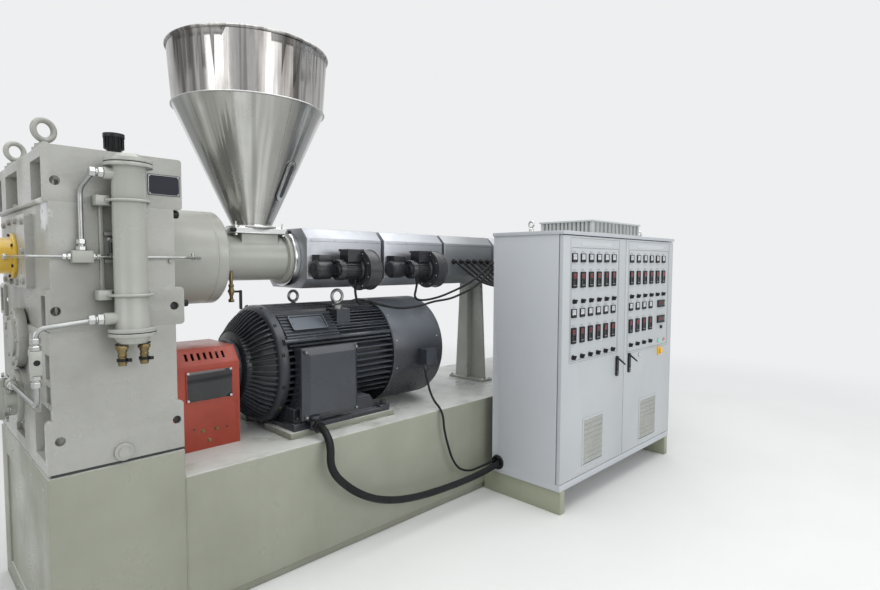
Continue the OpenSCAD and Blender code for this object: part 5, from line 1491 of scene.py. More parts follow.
@dataclass
class Zones:
    """Heated zones: covers, cable outlets and the blowers in front of them."""

    start: float = 0.209
    pitch: float = 0.538
    gap: float = 0.026
    count: int = 6
    half_y: float = 0.217
    half_z: float = 0.168
    bevel: float = 0.056
    axis_z: float = SCREW_Z
    blower_y: float = -0.333
    blower_z: float = 1.486
    with_blower: tuple = (1, 2, 4, 5, 6)
    outlets: tuple = HEATER_OUTLETS

    def span(self, i: int) -> tuple[float, float]:
        """Both ends of a cover along X."""
        low = self.start + (i - 1) * self.pitch + (0 if i == 1 else self.gap / 2)
        return low, self.start + i * self.pitch - self.gap / 2

    def covers(self) -> None:
        """Dressed covers with their lid seams and screws."""
        low, high = self.span(3)
        bright = Shape.of_node("zone_covers").clear(lambda c: low - 0.001 < c.x < high + 0.001)
        bright.round_edges(0.004, 3).place("polished_covers", Palette.COVER, stands_for=("zone_covers",))
        dull = Shape.of_node("zone_covers").clear(lambda c: not low - 0.001 < c.x < high + 0.001)
        dull.round_edges(0.004, 3).place("brushed_cover", Palette.BRUSHED, stands_for=("zone_covers",))
        seams = Shape()
        screws = Shape()
        for i in range(1, self.count + 1):
            a, b = self.span(i)
            z = self.axis_z + self.half_z - self.bevel
            for side in (-1, 1):
                y = side * self.half_y
                seams.box((a + 0.006, y - 0.0006, z - 0.018), (b - 0.006, y + 0.0006, z - 0.0165))
                for x in spread(a + 0.03, b - 0.03, 4):
                    screws.dome_screw((x, y, z - 0.009), Axis.FRONT.value if side < 0 else Axis.Y.value, 0.004,
                                      0.0022)
            for x in spread(a + 0.03, b - 0.03, 3):
                for side in (-1, 1):
                    screws.dome_screw((x, side * (self.half_y - self.bevel - 0.014), self.axis_z + self.half_z),
                                      Axis.Z.value, 0.0045, 0.0024)
        seams.place("cover_lid_seams", Palette.DARK_LINE)
        screws.place("cover_screws", Palette.ZINC)

    def gap_fill(self) -> None:
        """Dark rings that fill the gaps between covers."""
        gap_rings = Shape()
        for i in range(1, self.count):
            x = self.start + i * self.pitch
            r = self.half_z - 0.018
            gap_rings.lathe([(0.078, -0.0125), (r, -0.0125), (r + 0.004, 0), (r, 0.0125), (0.078, 0.0125)],
                       (x, 0, self.axis_z), Axis.X.value, 48)
        gap_rings.place("gap_dark_rings", Palette.BLACK)

    def cable_outlets(self) -> None:
        """Tapered black sleeves where the heater cables leave the brushed cover."""
        sleeves = Shape()
        rim = Shape()
        for x in self.outlets:
            seat = (x, -self.half_y - 0.0003, 1.536)
            sleeves.lathe([(0.0085, 0), (0.015, 0), (0.015, 0.006), (0.013, 0.008), (0.0095, 0.030),
                           (0.0085, 0.030)], seat, Axis.FRONT.value, 24)
            rim.nut(seat, Axis.FRONT.value, 0.036, 0.005)
        sleeves.place("cable_sleeves", Palette.BLACK)
        rim.place("cable_sleeve_nuts", Palette.BLOWER)

    def blower(self, i: int) -> None:
        """One blower: scroll, motor with ribs and cowl, terminal lid and intake can."""
        x = self.start + (i - 1) * self.pitch + 0.262
        y, z = self.blower_y, self.blower_z
        out = Axis.GEAR_END.value
        body = Shape()
        body.lathe([(0.066, 0.006), (0.068, 0.002), (0.086, -0.002), (0.086, 0), (0.108, 0), (0.117, 0.002),
                    (0.117, 0.007), (0.1125, 0.011), (0.1125, 0.073), (0.117, 0.077), (0.117, 0.082),
                    (0.108, 0.084), (0.02, 0.084), (0, 0.080)], (x, y, z), Axis.X.value, 64)
        duct = [(y, z + 0.107), (-self.half_y - 0.0005, z + 0.107), (-self.half_y - 0.0005, z + 0.020),
                (y, z + 0.020)]
        body.extrude(duct, Axis.X, x + 0.004, x + 0.080)
        body.lathe([(0.066, 0), (0.062, 0), (0.062, 0.030)], (x, y, z), Axis.X.value, 40)
        body.round_edges(0.0015, above=50).place(f"blower_{i}_scroll", Palette.BLOWER_RIM)
        motor = Shape()
        motor.lathe([(0.020, 0.034), (0.062, 0.030), (0.062, -0.004), (0.056, -0.010), (0.0495, -0.012),
                     (0.0495, -0.110), (0.054, -0.114), (0.058, -0.117), (0.058, -0.142), (0.054, -0.149),
                     (0.046, -0.150), (0.045, -0.146), (0.012, -0.144), (0, -0.144)], (x, y, z), Axis.X.value,
                    48)
        for a in (2 * math.pi * k / 22 for k in range(22)):
            rib = ((0.047, -0.0011), (0.0555, -0.0011), (0.0555, 0.0011), (0.047, 0.0011))
            motor.extrude([(y + u * math.cos(a) - v * math.sin(a), z + u * math.sin(a) + v * math.cos(a)) for u,
                           v in rib], Axis.X, x - 0.112, x - 0.012)
        for ring in (0.020, 0.030, 0.040):
            motor.lathe([(ring, -0.1465), (ring + 0.003, -0.149), (ring + 0.006, -0.1465)], (x, y, z),
                        Axis.X.value, 36)
        motor.place(f"blower_{i}_motor", Palette.BLOWER, stands_for=("blowers",))
        lid = Shape()
        lid.box((x - 0.098, y - 0.038, z + 0.046), (x + 0.004, y + 0.038, z + 0.104))
        lid.box((x - 0.104, y - 0.044, z + 0.104), (x + 0.010, y + 0.044, z + 0.1155))
        lid.round_edges(0.003)
        for dx in (-0.096, 0.002):
            for dy in (-0.036, 0.036):
                lid.dome_screw((x + dx, y + dy, z + 0.1155), Axis.Z.value, 0.004, 0.002)
        lid.place(f"blower_{i}_terminal_box", Palette.BLOWER)
        can = Shape()
        cy = -self.half_y - 0.056
        can.lathe([(0, -0.256), (0.040, -0.256), (0.046, -0.252), (0.052, -0.244), (0.052, -0.162),
                   (0.048, -0.152), (0, -0.150)], (x, cy, z), Axis.X.value, 40)
        can.extrude(soft_rect((-self.half_y - 0.074, z + 0.040), (-self.half_y - 0.0005, z + 0.084), 0.006),
                    Axis.X, x - 0.230, x - 0.140)
        can.extrude(soft_rect((y, z - 0.030), (-self.half_y - 0.0005, z + 0.030), 0.006), Axis.X, x - 0.160,
                    x - 0.060)
        can.round_edges(0.0015, above=50).place(f"blower_{i}_intake", Palette.BLOWER)
        screws = Shape()
        for seat in on_circle((x, y, z), out, 0.098, 8, 22.5):
            screws.dome_screw(seat, out, 0.005, 0.0035)
        for seat in on_circle((x - 0.150, y, z), out, 0.050, 4, 45):
            screws.dome_screw(seat, out, 0.0026, 0.002)
        screws.place(f"blower_{i}_screws", Palette.ZINC)

    def build(self) -> None:
        """Makes the zones."""
        self.covers()
        self.gap_fill()
        self.cable_outlets()
        for i in self.with_blower:
            self.blower(i)


@dataclass
class Motor:
    """Finned motor, ribbed end bell, fan shroud, terminal box, feet and small fittings."""

    axis_z: float = MOTOR_Z
    start: float = 0.030
    end: float = 0.744
    bell: float = -0.170
    shroud_end: float = 1.180
    shroud_r: float = 0.333
    box: tuple = ((0.056, 0.706), (0.410, 1.084))
    box_front: float = -0.430
    rail_top: float = 0.649
    rib_count: int = 56
    eye_seats: tuple = ((0.460, -0.140), (0.333, 0.140))
    pad_top: float = 1.2595

    def ribs(self) -> None:
        """Radial ribs of the end bell and its hub."""
        ribs = Shape()
        profile = [(-0.137, 0.176), (-0.137, 0.196), (-0.112, 0.222), (-0.078, 0.262), (-0.046, 0.290),
                   (-0.004, 0.312), (0.029, 0.316), (0.029, 0.262), (-0.010, 0.258), (-0.060, 0.215),
                   (-0.100, 0.176)]
        for k in range(self.rib_count):
            a = 2 * math.pi * k / self.rib_count
            side = Vector((0, -math.sin(a), math.cos(a))) * 0.0024
            ring = [Vector((x, r * math.cos(a), self.axis_z + r * math.sin(a))) for x, r in profile]
            ribs.prism([p - side for p in ring], [p + side for p in ring])
        ribs.place("bell_ribs", Palette.MOTOR)
        hub = Shape().lathe([(0, 0), (0.060, 0), (0.066, 0.004), (0.128, 0.004), (0.146, 0.010), (0.152, 0.018),
                             (0.152, 0.030), (0.182, 0.034), (0.192, 0.040), (0.192, 0.050), (0.150, 0.060)],
                            (self.bell - 0.004, 0, self.axis_z), Axis.X.value, 72)
        hub.lathe([(0.286, 0.150), (0.304, 0.150), (0.318, 0.158), (0.326, 0.172), (0.326, 0.204),
                   (0.300, 0.206)], (self.bell, 0, self.axis_z), Axis.X.value, 96)
        hub.place("bell_hub", Palette.MOTOR)
        bolts = Shape().fasteners(Head.HEX, on_circle((self.bell, 0, self.axis_z), Axis.GEAR_END.value, 0.110,
                                                      8, 22.5), Axis.GEAR_END.value, 0.018, 0.008)
        bolts.fasteners(Head.HEX, on_circle((self.start - 0.022, 0, self.axis_z), Axis.GEAR_END.value, 0.3205,
                                            12, 15), Axis.GEAR_END.value, 0.020, 0.010)
        bolts.place("bell_bolts", Palette.BLOWER)

    def ledge(self) -> None:
        """Smooth ledge over the terminal box, with the slope above it."""
        shape = Shape()
        outline = [(-0.262, 1.128), (-0.316, 1.124), (-0.322, 1.118), (-0.322, 1.110), (-0.316, 1.105),
                   (-0.262, 1.100)]
        shape.extrude(outline, Axis.X, self.start - 0.018, self.end - 0.020)
        shape.extrude([(-0.250, 1.098), (-0.318, 1.094), (-0.318, 1.086), (-0.250, 1.080)], Axis.X,
                      self.start + 0.01, self.end - 0.024)
        shape.round_edges(0.002).place("motor_ledge", Palette.MOTOR_EDGE)
        slope = Shape()
        slope.extrude([(-0.285, 1.120), (-0.2905, 1.128), (-0.1830, 1.236), (-0.165, 1.225)], Axis.X,
                      self.start + 0.012, 0.372)
        slope.round_edges(0.003).place("motor_slope", Palette.MOTOR)
        fins = Shape()
        for t in spread(0.08, 0.97, 7):
            y, z = lerp(-0.2880, -0.1840, t), lerp(1.1300, 1.2340, t)
            fins.extrude([(y - 0.0075, z + 0.0035), (y - 0.0035, z + 0.0075), (y + 0.010, z - 0.006),
                          (y + 0.006, z - 0.010)], Axis.X, self.start + 0.010, self.end - 0.004)
        fins.round_edges(0.0012, 1).place("motor_slope_fins", Palette.MOTOR)
        pads = Shape()
        for x, y in self.eye_seats:
            low, high = (y - 0.100, y + 0.020) if y < 0 else (y - 0.020, y + 0.100)
            pads.box((x - 0.072, low, 1.160), (x + 0.020, high, self.pad_top))
        pads.round_edges(0.003).place("motor_eye_pads", Palette.MOTOR_EDGE)

    def cast_plate(self) -> None:
        """The blank cast plate on the slope: a rim round a bare field, with two small studs."""
        place = Matrix.Translation((0.198, -0.2350, 1.1935)) @ Matrix.Rotation(math.radians(45.0), 4, "X")
        rim = Shape().hoop(round_rect(0, 0, 0.110, 0.050, 0.012), round_rect(0, 0, 0.103, 0.043, 0.008),
                           Axis.Z, 0.0, 0.012)
        rim.extrude(round_rect(0, 0, 0.106, 0.046, 0.008), Axis.Z, 0.0, 0.005)
        for x in (-0.092, 0.092):
            rim.dome_screw((x, 0, 0.005), Axis.Z.value, 0.005, 0.003)
        rim.round_edges(0.0015, above=50).moved(place).place("blank_cast_plate", Palette.SHROUD)

    def shroud(self) -> None:
        """Band, small screws and the end grille of the fan shroud."""
        rounded("fan_shroud", Palette.SHROUD, 0.003)
        band = Shape().lathe([(self.shroud_r - 0.004, 0), (self.shroud_r + 0.0005, 0.001),
                              (self.shroud_r + 0.0005, 0.010), (self.shroud_r - 0.004, 0.012)],
                             (self.end - 0.004, 0, self.axis_z), Axis.X.value, 128)
        band.place("shroud_band", Palette.MOTOR_EDGE)
        screws = Shape()
        for k in range(12):
            a = math.radians(15 + 30 * k)
            out = Vector((0, math.cos(a), math.sin(a)))
            for x in (self.end + 0.030, self.shroud_end - 0.060):
                seat = Vector((x, 0, self.axis_z)) + out * (self.shroud_r - 0.0005)
                screws.dome_screw(seat, out, 0.0055, 0.0025)
        screws.place("shroud_screws", Palette.ZINC)
        bars = Shape()
        for k in range(8):
            a = math.pi * k / 4
            side = Vector((0, -math.sin(a), math.cos(a))) * 0.006
            ahead = Vector((0, math.cos(a), math.sin(a)))
            foot = Vector((self.shroud_end - 0.010, 0, self.axis_z))
            ring = [foot + ahead * 0.05, foot + ahead * 0.30, foot + ahead * 0.30 + Vector((0.0085, 0, 0)),
                    foot + ahead * 0.05 + Vector((0.0085, 0, 0))]
            bars.prism([p - side for p in ring], [p + side for p in ring])
        bars.place("shroud_end_bars", Palette.SHROUD)

    def terminal_box(self) -> None:
        """The big box: corner screws, lid seam and cable gland; and the small box on the shroud."""
        rounded("terminal_box", Palette.BOX, 0.005, segments=3)
        (x0, z0), (x1, z1) = self.box
        front = self.box_front
        seam = Shape().hoop(soft_rect((x0 + 0.0065, z0 + 0.0045), (x1 - 0.0065, z1 - 0.0045), 0.010),
                            inset_rect((x0, z0), (x1, z1), 0.012, 0.008), Axis.Y, front + 0.051,
                            front + 0.0535)
        seam.place("box_seam", Palette.DARK_LINE)
        screws = Shape()
        bosses = Shape()
        for x in (x0 + 0.019, x1 - 0.019):
            for z in (z0 + 0.019, z1 - 0.019):
                bosses.bar((x, front + 0.040, z), (x, front + 0.011, z), 0.0125, 20, 0.003)
                screws.cap_screw((x, front + 0.011, z), Axis.FRONT.value, 0.0065, 0.005)
        bosses.place("box_corner_bosses", Palette.BOX)
        screws.place("box_screws", Palette.ZINC)
        gland = Shape()
        gland.nut((0.132, front - 0.015, 0.671), Axis.Y.value, 0.056, 0.020)
        gland.nut((0.132, front + 0.028, 0.712), Axis.DOWN.value, 0.060, 0.016)
        gland.lathe([(0.0205, -0.020), (0.0235, -0.012), (0.026, 0), (0.026, 0.004)],
                    (0.132, front - 0.019, 0.671), Axis.Y.value, 28)
        gland.place("motor_cable_gland", Palette.BLACK)
        lo, hi = (0.947, 0.886), (1.037, 0.985)
        y = -self.shroud_r - 0.064
        lid = Shape().extrude(soft_rect(lo, hi, 0.008), Axis.Y, y - 0.008, y).round_edges(0.0025, above=50)
        for x in (lo[0] + 0.010, hi[0] - 0.010):
            for z in (lo[1] + 0.010, hi[1] - 0.010):
                lid.cap_screw((x, y - 0.008, z), Axis.FRONT.value, 0.0042, 0.003)
        lid.nut((0.960, -0.378, 0.8865), Axis.DOWN.value, 0.024, 0.010)
        lid.lathe([(0.0095, 0), (0.0105, 0.004), (0.0078, 0.022), (0.0070, 0.022)], (0.960, -0.378, 0.8775),
                  Axis.DOWN.value, 20)
        lid.place("fan_box_lid", Palette.BOX)

    def feet(self) -> None:
        """Feet with their holding-down bolts, and the earth screw."""
        rounded("motor_feet", Palette.MOTOR, 0.004, segments=3)
        bolts = Shape()
        for x in (0.060, 0.635):
            for y in (-0.352, 0.352):
                bolts.lathe([(0, 0), (0.024, 0), (0.024, 0.0035), (0, 0.0035)], (x, y, self.rail_top + 0.038),
                            Axis.Z.value, 28)
                bolts.nut((x, y, self.rail_top + 0.0415), Axis.Z.value, 0.036, 0.018)
                bolts.bar((x, y, self.rail_top + 0.058), (x, y, self.rail_top + 0.070), 0.011, 18)
        bolts.place("foot_bolts", Palette.BLOWER)
        earth = Shape().hex_bolt((0.016, -0.250, 0.760), Axis.GEAR_END.value, 0.018, 0.008)
        earth.place("earth_screw", Palette.BRASS)

    def build(self) -> None:
        """Makes the motor."""
        body = Shape.of_node("motor_body")
        body.round_edges(0.0012, 1).place("motor_body_dressed", Palette.MOTOR, stands_for=("motor_body",))
        rounded("motor_end_bell", Palette.BLOWER, 0.001)
        self.ribs()
        self.ledge()
        self.cast_plate()
        self.shroud()
        self.terminal_box()
        self.feet()


@dataclass
class Guard:
    """Coupling and its orange-red guard with a window."""

    front: float = -0.206
    window: tuple = ((-0.447, 0.857), (-0.224, 1.003))
    screw_holes: tuple = ((-0.373, 0.707), (-0.306, 0.708), (-0.342, 0.656))
    small_holes: tuple = ((-0.416, 0.722), (-0.253, 0.707))

    def build(self) -> None:
        """Makes the guard."""
        rounded("drive_coupling", Palette.BARE, 0.004)
        coupling = Shape()
        for centre in (-0.428, -0.312):
            for seat in on_circle((centre, 0, MOTOR_Z), Axis.X.value, 0.102, 8):
                coupling.bar(seat - Vector((0.052, 0, 0)), seat + Vector((0.052, 0, 0)), 0.010, 14)
        coupling.place("coupling_pins", Palette.ZINC)
        rounded("coupling_guard", Palette.RED, 0.0025)
        rounded("guard_window", Palette.SMOKED, 0.001)
        (x0, z0), (x1, z1) = self.window
        lip = Shape().hoop(soft_rect((x0 - 0.002, z0 - 0.002), (x1 + 0.002, z1 + 0.002), 0.004),
                           inset_rect((x0, z0), (x1, z1), 0.001, 0.003), Axis.Y, self.front - 0.0056,
                           self.front)
        lip.place("window_edge", Palette.RED)
        screws = Shape()
        for x in (x0 + 0.007, x1 - 0.007):
            for z in (z0 + 0.007, z1 - 0.007):
                screws.dome_screw((x, self.front - 0.005, z), Axis.FRONT.value, 0.0062, 0.0035)
        screws.place("window_screws", Palette.WHITE_PLASTIC)
        bolts = Shape()
        for x, z in self.screw_holes:
            bolts.hex_bolt((x, self.front, z), Axis.FRONT.value, 0.014, 0.006)
        bolts.place("guard_bolts", Palette.BRASS)
        # Painted shade: dark discs drawn where the small holes in the guard are.
        holes = Shape()
        for x, z in self.small_holes:
            holes.lathe([(0, 0.0004), (0.0055, 0.0004), (0.0055, 0)], (x, self.front, z), Axis.FRONT.value, 18)
        holes.place("guard_small_holes", Palette.DARK_LINE)
        seams = Shape()
        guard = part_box("coupling_guard")
        for x in (guard[0][0] + 0.004, guard[1][0] - 0.004):
            for side in (-1, 1):
                seams.box((x - 0.004, side * 0.205 - 0.0012, 0.617), (x + 0.004, side * 0.205 + 0.0012, 1.028))
        seams.round_edges(0.0008).place("guard_folds", Palette.RED)


@dataclass
class Instruments:
    """The instruments of one door, in their rows."""

    side: str
    body: Body
    columns: tuple
    lower_count: int
    front: float = DOOR_FRONT
    rows: tuple = (1.562, 1.428, 1.296, 1.224, 1.087, 0.953)

    def meter(self, parts: dict[str, Shape], x: float, z: float) -> None:
        """A square meter: black bezel, white dial, dark foot and a needle."""
        y = self.front
        parts["black"].hoop(round_rect(x, z, 0.027, 0.027, 0.003),
                            round_rect(x, z, 0.0225, 0.0225, 0.002), Axis.Y, y - 0.0085, y)
        parts["white"].extrude(soft_rect((x - 0.0228, z - 0.0105), (x + 0.0228, z + 0.0228), 0.002), Axis.Y,
                               y - 0.006, y)
        parts["black"].extrude(soft_rect((x - 0.0228, z - 0.0228), (x + 0.0228, z - 0.0105), 0.002), Axis.Y,
                               y - 0.0068, y)
        dial = [(x + 0.017 * math.cos(a), y - 0.0063, z - 0.004 + 0.017 * math.sin(a))
                for a in (math.radians(25 + 13 * k) for k in range(11))]
        parts["black"].tube(dial, 0.0006, 5)
        parts["black"].tube([(x + 0.006, y - 0.0064, z - 0.010), (x - 0.010, y - 0.0064, z + 0.010)], 0.0005, 5)

    def controller(self, parts: dict[str, Shape], x: float, z: float) -> None:
        """A tall controller: bevelled black case, dark display with digits, keys below."""
        y = self.front
        parts["black"].extrude(round_rect(x, z, 0.025, 0.049, 0.004), Axis.Y, y - 0.0075, y)
        parts["black"].hoop(round_rect(x, z, 0.0245, 0.0485, 0.004),
                            round_rect(x, z, 0.0205, 0.0445, 0.003), Axis.Y, y - 0.0105, y - 0.007)
        parts["screen"].extrude(soft_rect((x - 0.018, z + 0.002), (x + 0.018, z + 0.040), 0.002), Axis.Y,
                                y - 0.0088, y - 0.007)
        for k, high in ((0, 0.0052), (1, 0.0042)):
            for n in range(4):
                u = x - 0.0135 + n * 0.0085
                v = z + 0.031 - k * 0.0155
                parts["digit"].hoop(round_rect(u, v, 0.0022, high, 0.0008),
                                    soft_rect((u - 0.0011, v - high + 0.0011), (u + 0.0011, v + high - 0.0011),
                                              0.0005), Axis.Y, y - 0.0092, y - 0.0086)
        for n in range(4):
            u = x - 0.0135 + n * 0.009
            parts["grey"].extrude(soft_rect((u - 0.003, z - 0.036), (u + 0.003, z - 0.031), 0.001), Axis.Y,
                                  y - 0.0092, y - 0.007)
        for n in range(3):
            parts["grey"].extrude(soft_rect((x - 0.015, z - 0.009 - n * 0.006),
                                            (x - 0.011, z - 0.007 - n * 0.006), 0.0005), Axis.Y, y - 0.0082,
                                  y - 0.007)

    def knob(self, parts: dict[str, Shape], x: float, z: float) -> None:
        """A selector knob: a ring and a turned grip."""
        y = self.front
        parts["black"].lathe([(0, 0.009), (0.012, 0.009), (0.0145, 0.006), (0.0155, 0.0)], (x, y, z),
                             Axis.FRONT.value, 28)
        grip = Shape()
        grip.extrude(round_rect(0, 0, 0.0045, 0.0145, 0.004), Axis.Z, 0.008, 0.0235)
        grip.round_edges(0.0015, above=50)
        upright = Matrix.Translation((x, y, z)) @ Matrix.Rotation(math.pi / 2, 4, "X")
        place = upright @ Matrix.Rotation(math.radians(-38), 4, "Z")
        parts["black"].join(grip.moved(place))

    def label(self, parts: dict[str, Shape], x: float, z: float) -> None:
        """A small blank label strip above an instrument."""
        parts["label"].extrude(round_rect(x, z, 0.016, 0.004, 0.001), Axis.Y, self.front - 0.0006,
                               self.front)

    def lamp(self, parts: dict[str, Shape], x: float, z: float, lens: str, radius: float = 0.010) -> None:
        """A lamp or button: a metal ring round a domed lens."""
        at = (x, self.front, z)
        parts["ring"].lathe([(radius, 0.004), (radius + 0.0015, 0.007), (radius + 0.004, 0.006),
                             (radius + 0.0045, 0)], at, Axis.FRONT.value, 28)
        parts[lens].lathe([(0, 0.0125), (radius * 0.6, 0.0115), (radius * 0.98, 0.008), (radius * 0.98, 0.002)],
                          at, Axis.FRONT.value, 28)

    def extras(self, parts: dict[str, Shape]) -> None:
        """Displays, lamps, button and stop switch at the right door's edge."""
        y = self.front
        for (x0, z0), (x1, z1) in (((2.713, 1.197), (2.837, 1.251)), ((2.713, 1.076), (2.841, 1.133))):
            parts["black"].extrude(soft_rect((x0, z0), (x1, z1), 0.003), Axis.Y, y - 0.0085, y)
            parts["screen"].extrude(soft_rect((x0 + 0.010, z0 + 0.014), (x1 - 0.022, z1 - 0.008), 0.002),
                                    Axis.Y, y - 0.0095, y - 0.008)
            for n in range(4):
                u = x0 + 0.026 + n * 0.017
                v = (z0 + z1) / 2 + 0.003
                parts["digit"].hoop(round_rect(u, v, 0.004, 0.008, 0.001),
                                    round_rect(u, v, 0.0024, 0.0064, 0.0008), Axis.Y,
                                    y - 0.0099, y - 0.0093)
            parts["grey"].extrude(soft_rect((x1 - 0.017, z0 + 0.012), (x1 - 0.007, z1 - 0.012), 0.001), Axis.Y,
                                  y - 0.0092, y - 0.008)
        parts["black"].lathe([(0, 0.012), (0.009, 0.012), (0.013, 0.008), (0.014, 0)], (2.785, y, 1.043),
                             Axis.FRONT.value, 28)
        self.lamp(parts, 2.744, 0.940, "green", 0.012)
        self.lamp(parts, 2.839, 0.943, "red", 0.010)
        self.lamp(parts, 2.418, 0.868, "white", 0.010)
        parts["yellow"].extrude(soft_rect((2.730, 0.831), (2.786, 0.891), 0.006), Axis.Y, y - 0.010, y)
        parts["yellow"].lathe([(0.021, 0.009), (0.022, 0.012), (0.020, 0.014)], (2.758, y, 0.861),
                              Axis.FRONT.value, 32)
        parts["yellow"].lathe([(0, 0.030), (0.012, 0.030), (0.0175, 0.027), (0.0185, 0.022), (0.0165, 0.017),
                               (0.010, 0.014), (0.010, 0.009)], (2.758, y, 0.861), Axis.FRONT.value, 32)

    def build(self) -> None:
        """Makes the instruments of the door."""
        finishes = {"black": Palette.BLACK, "white": Palette.WHITE_PLASTIC, "screen": Palette.SCREEN,
                    "digit": Palette.DIGITS, "grey": Palette.KEY_GREY, "label": Palette.LABEL,
                    "ring": Palette.BRIGHT, "green": Palette.LAMP_GREEN, "red": Palette.LAMP_RED,
                    "yellow": Palette.STOP_YELLOW}
        parts = {name: Shape() for name in finishes}
        for i, x in enumerate(self.columns):
            for row in (0, 3) if i < self.lower_count else (0,):
                self.meter(parts, x, self.rows[row])
                self.controller(parts, x, self.rows[row + 1])
                self.knob(parts, x, self.rows[row + 2])
                self.label(parts, x, self.rows[row] + 0.038)
                self.label(parts, x, self.rows[row + 1] + 0.062)
        if self.side == "right":
            self.extras(parts)
        for name, shape in parts.items():
            if shape.bm.faces:
                node = f"{self.side}_instruments"
                shape.place(f"{node}_{name}", finishes[name], self.body, stands_for=(node,) if name == "black"
                            else ())
            else:
                shape.bm.free()


@dataclass
class Cabinet:
    """Control cabinet: shell, doors, handles, vents and what is inside."""

    left: float = 1.384
    right: float = 2.984
    front: float = DOOR_FRONT
    back: float = CABINET_BACK
    roof_z: float = 1.723
    plate_y: float = -0.634
    left_door: tuple = (1.390, 2.181)
    right_door: tuple = (2.187, 2.978)
    left_panel: tuple = ((1.476, 0.930), (2.075, 1.625))
    right_panel: tuple = ((2.232, 0.905), (2.900, 1.625))
    door_z: tuple = (0.190, 1.695)
    louvres: tuple = ((1.640, 0.234), (1.905, 0.546), (2.439, 0.220), (2.728, 0.532))
    grommet: Point = (1.384, -0.634, 0.214)
    duct_levels: tuple = (1.575, 1.275, 0.975, 0.640, 0.320)
    duct_fingers: int = 110
    rail_levels: tuple = (1.460, 1.160, 0.850, 0.500)
    back_sizes: tuple = ((0.0215, 0.030), (0.043, 0.070), (0.012, 0.034))

    def door(self, node: str, body: Body, panel: tuple, louvre: tuple) -> None:
        """A door: leaf, panel outline, title strip, louvre panel, stiffeners and seal.

        Args:
            node: The door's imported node.
            body: The body it rides on.
            panel: Corners of the instrument panel's outline.
            louvre: Corners of the louvre panel.
        """
        y = self.front
        rounded(node, Palette.DOOR, 0.0015, body)
        (x0, z0), (x1, z1) = panel
        outline = Shape()
        outline.hoop(soft_rect((x0, z0), (x1, z1), 0.003), inset_rect((x0, z0), (x1, z1), 0.003, 0.002),
                     Axis.Y, y - 0.0009, y)
        outline.hoop(soft_rect((x0 - 0.012, z0 - 0.012), (x1 + 0.012, z1 + 0.058), 0.004),
                     soft_rect((x0 - 0.010, z0 - 0.010), (x1 + 0.010, z1 + 0.056), 0.003), Axis.Y, y - 0.0007,
                     y)
        outline.place(f"{node}_panel_lines", Palette.PANEL_LINE, body)
        strip = Shape().extrude(soft_rect((x0 + 0.12, z1 + 0.012), (x1 - 0.10, z1 + 0.038), 0.002), Axis.Y,
                                y - 0.0008, y)
        strip.place(f"{node}_title_strip", Palette.FRAME_STRIP, body)
        a, b = louvre
        grille = Shape()
        grille.hoop(soft_rect(a, b, 0.004), inset_rect(a, b, 0.012, 0.002),
                    Axis.Y, y - 0.0035, y).round_edges(0.0012, above=50)
        slats = Shape()
        for z in spread(a[1] + 0.018, b[1] - 0.020, 26):
            slats.extrude([(y - 0.0028, z), (y - 0.0004, z + 0.0072), (y + 0.0006, z + 0.0072),
                           (y - 0.0004, z)], Axis.X, a[0] + 0.011, b[0] - 0.011)
        for x in spread(a[0] + 0.012, b[0] - 0.012, 12)[1:-1]:
            slats.extrude([(x - 0.0011, y - 0.0030), (x + 0.0011, y - 0.0030), (x + 0.0011, y),
                           (x - 0.0011, y)], Axis.Z, a[1] + 0.012, b[1] - 0.012)
        grille.place(f"{node}_louvre_frame", Palette.DOOR, body)
        slats.place(f"{node}_louvre_slats", Palette.LOUVRE, body)
        ends = self.left_door if body is Body.LEFT_DOOR else self.right_door
        inside = Shape()
        for x in (ends[0] + 0.070, ends[1] - 0.098):
            inside.box((x, y + 0.0032, self.door_z[0] + 0.05), (x + 0.028, y + 0.0165, self.door_z[1] - 0.05))
        inside.round_edges(0.002).place(f"{node}_stiffeners", Palette.DOOR, body)
        seal = Shape().hoop(soft_rect((ends[0] + 0.018, self.door_z[0] + 0.014),
                                      (ends[1] - 0.018, self.door_z[1] - 0.014), 0.01),
                            soft_rect((ends[0] + 0.026, self.door_z[0] + 0.022),
                                      (ends[1] - 0.026, self.door_z[1] - 0.022), 0.008), Axis.Y, y + 0.0032,
                            y + 0.018)
        seal.round_edges(0.002, above=50).place(f"{node}_seal", Palette.BLACK, body)

    def instrument_backs(self, side: str, body: Body, columns: tuple, lower: int) -> None:
        """Bodies of the instruments behind the door's sheet, with their terminals."""
        backs = Shape()
        pins = Shape()
        y = self.front + 0.0032
        for i, x in enumerate(columns):
            for row in range(len(Instruments.rows)):
                half, deep = self.back_sizes[row % 3]
                if row > 2 and i >= lower:
                    continue
                z = Instruments.rows[row]
                backs.box((x - 0.021, y, z - half), (x + 0.021, y + deep, z + half))
                for n in range(3):
                    pins.bar((x - 0.012 + 0.012 * n, y + deep - 0.001, z),
                             (x - 0.012 + 0.012 * n, y + deep + 0.003, z), 0.003, 8)
        backs.round_edges(0.0015, 1).place(f"{side}_instrument_backs", Palette.BLACK, body)
        pins.place(f"{side}_instrument_pins", Palette.BRASS, body)

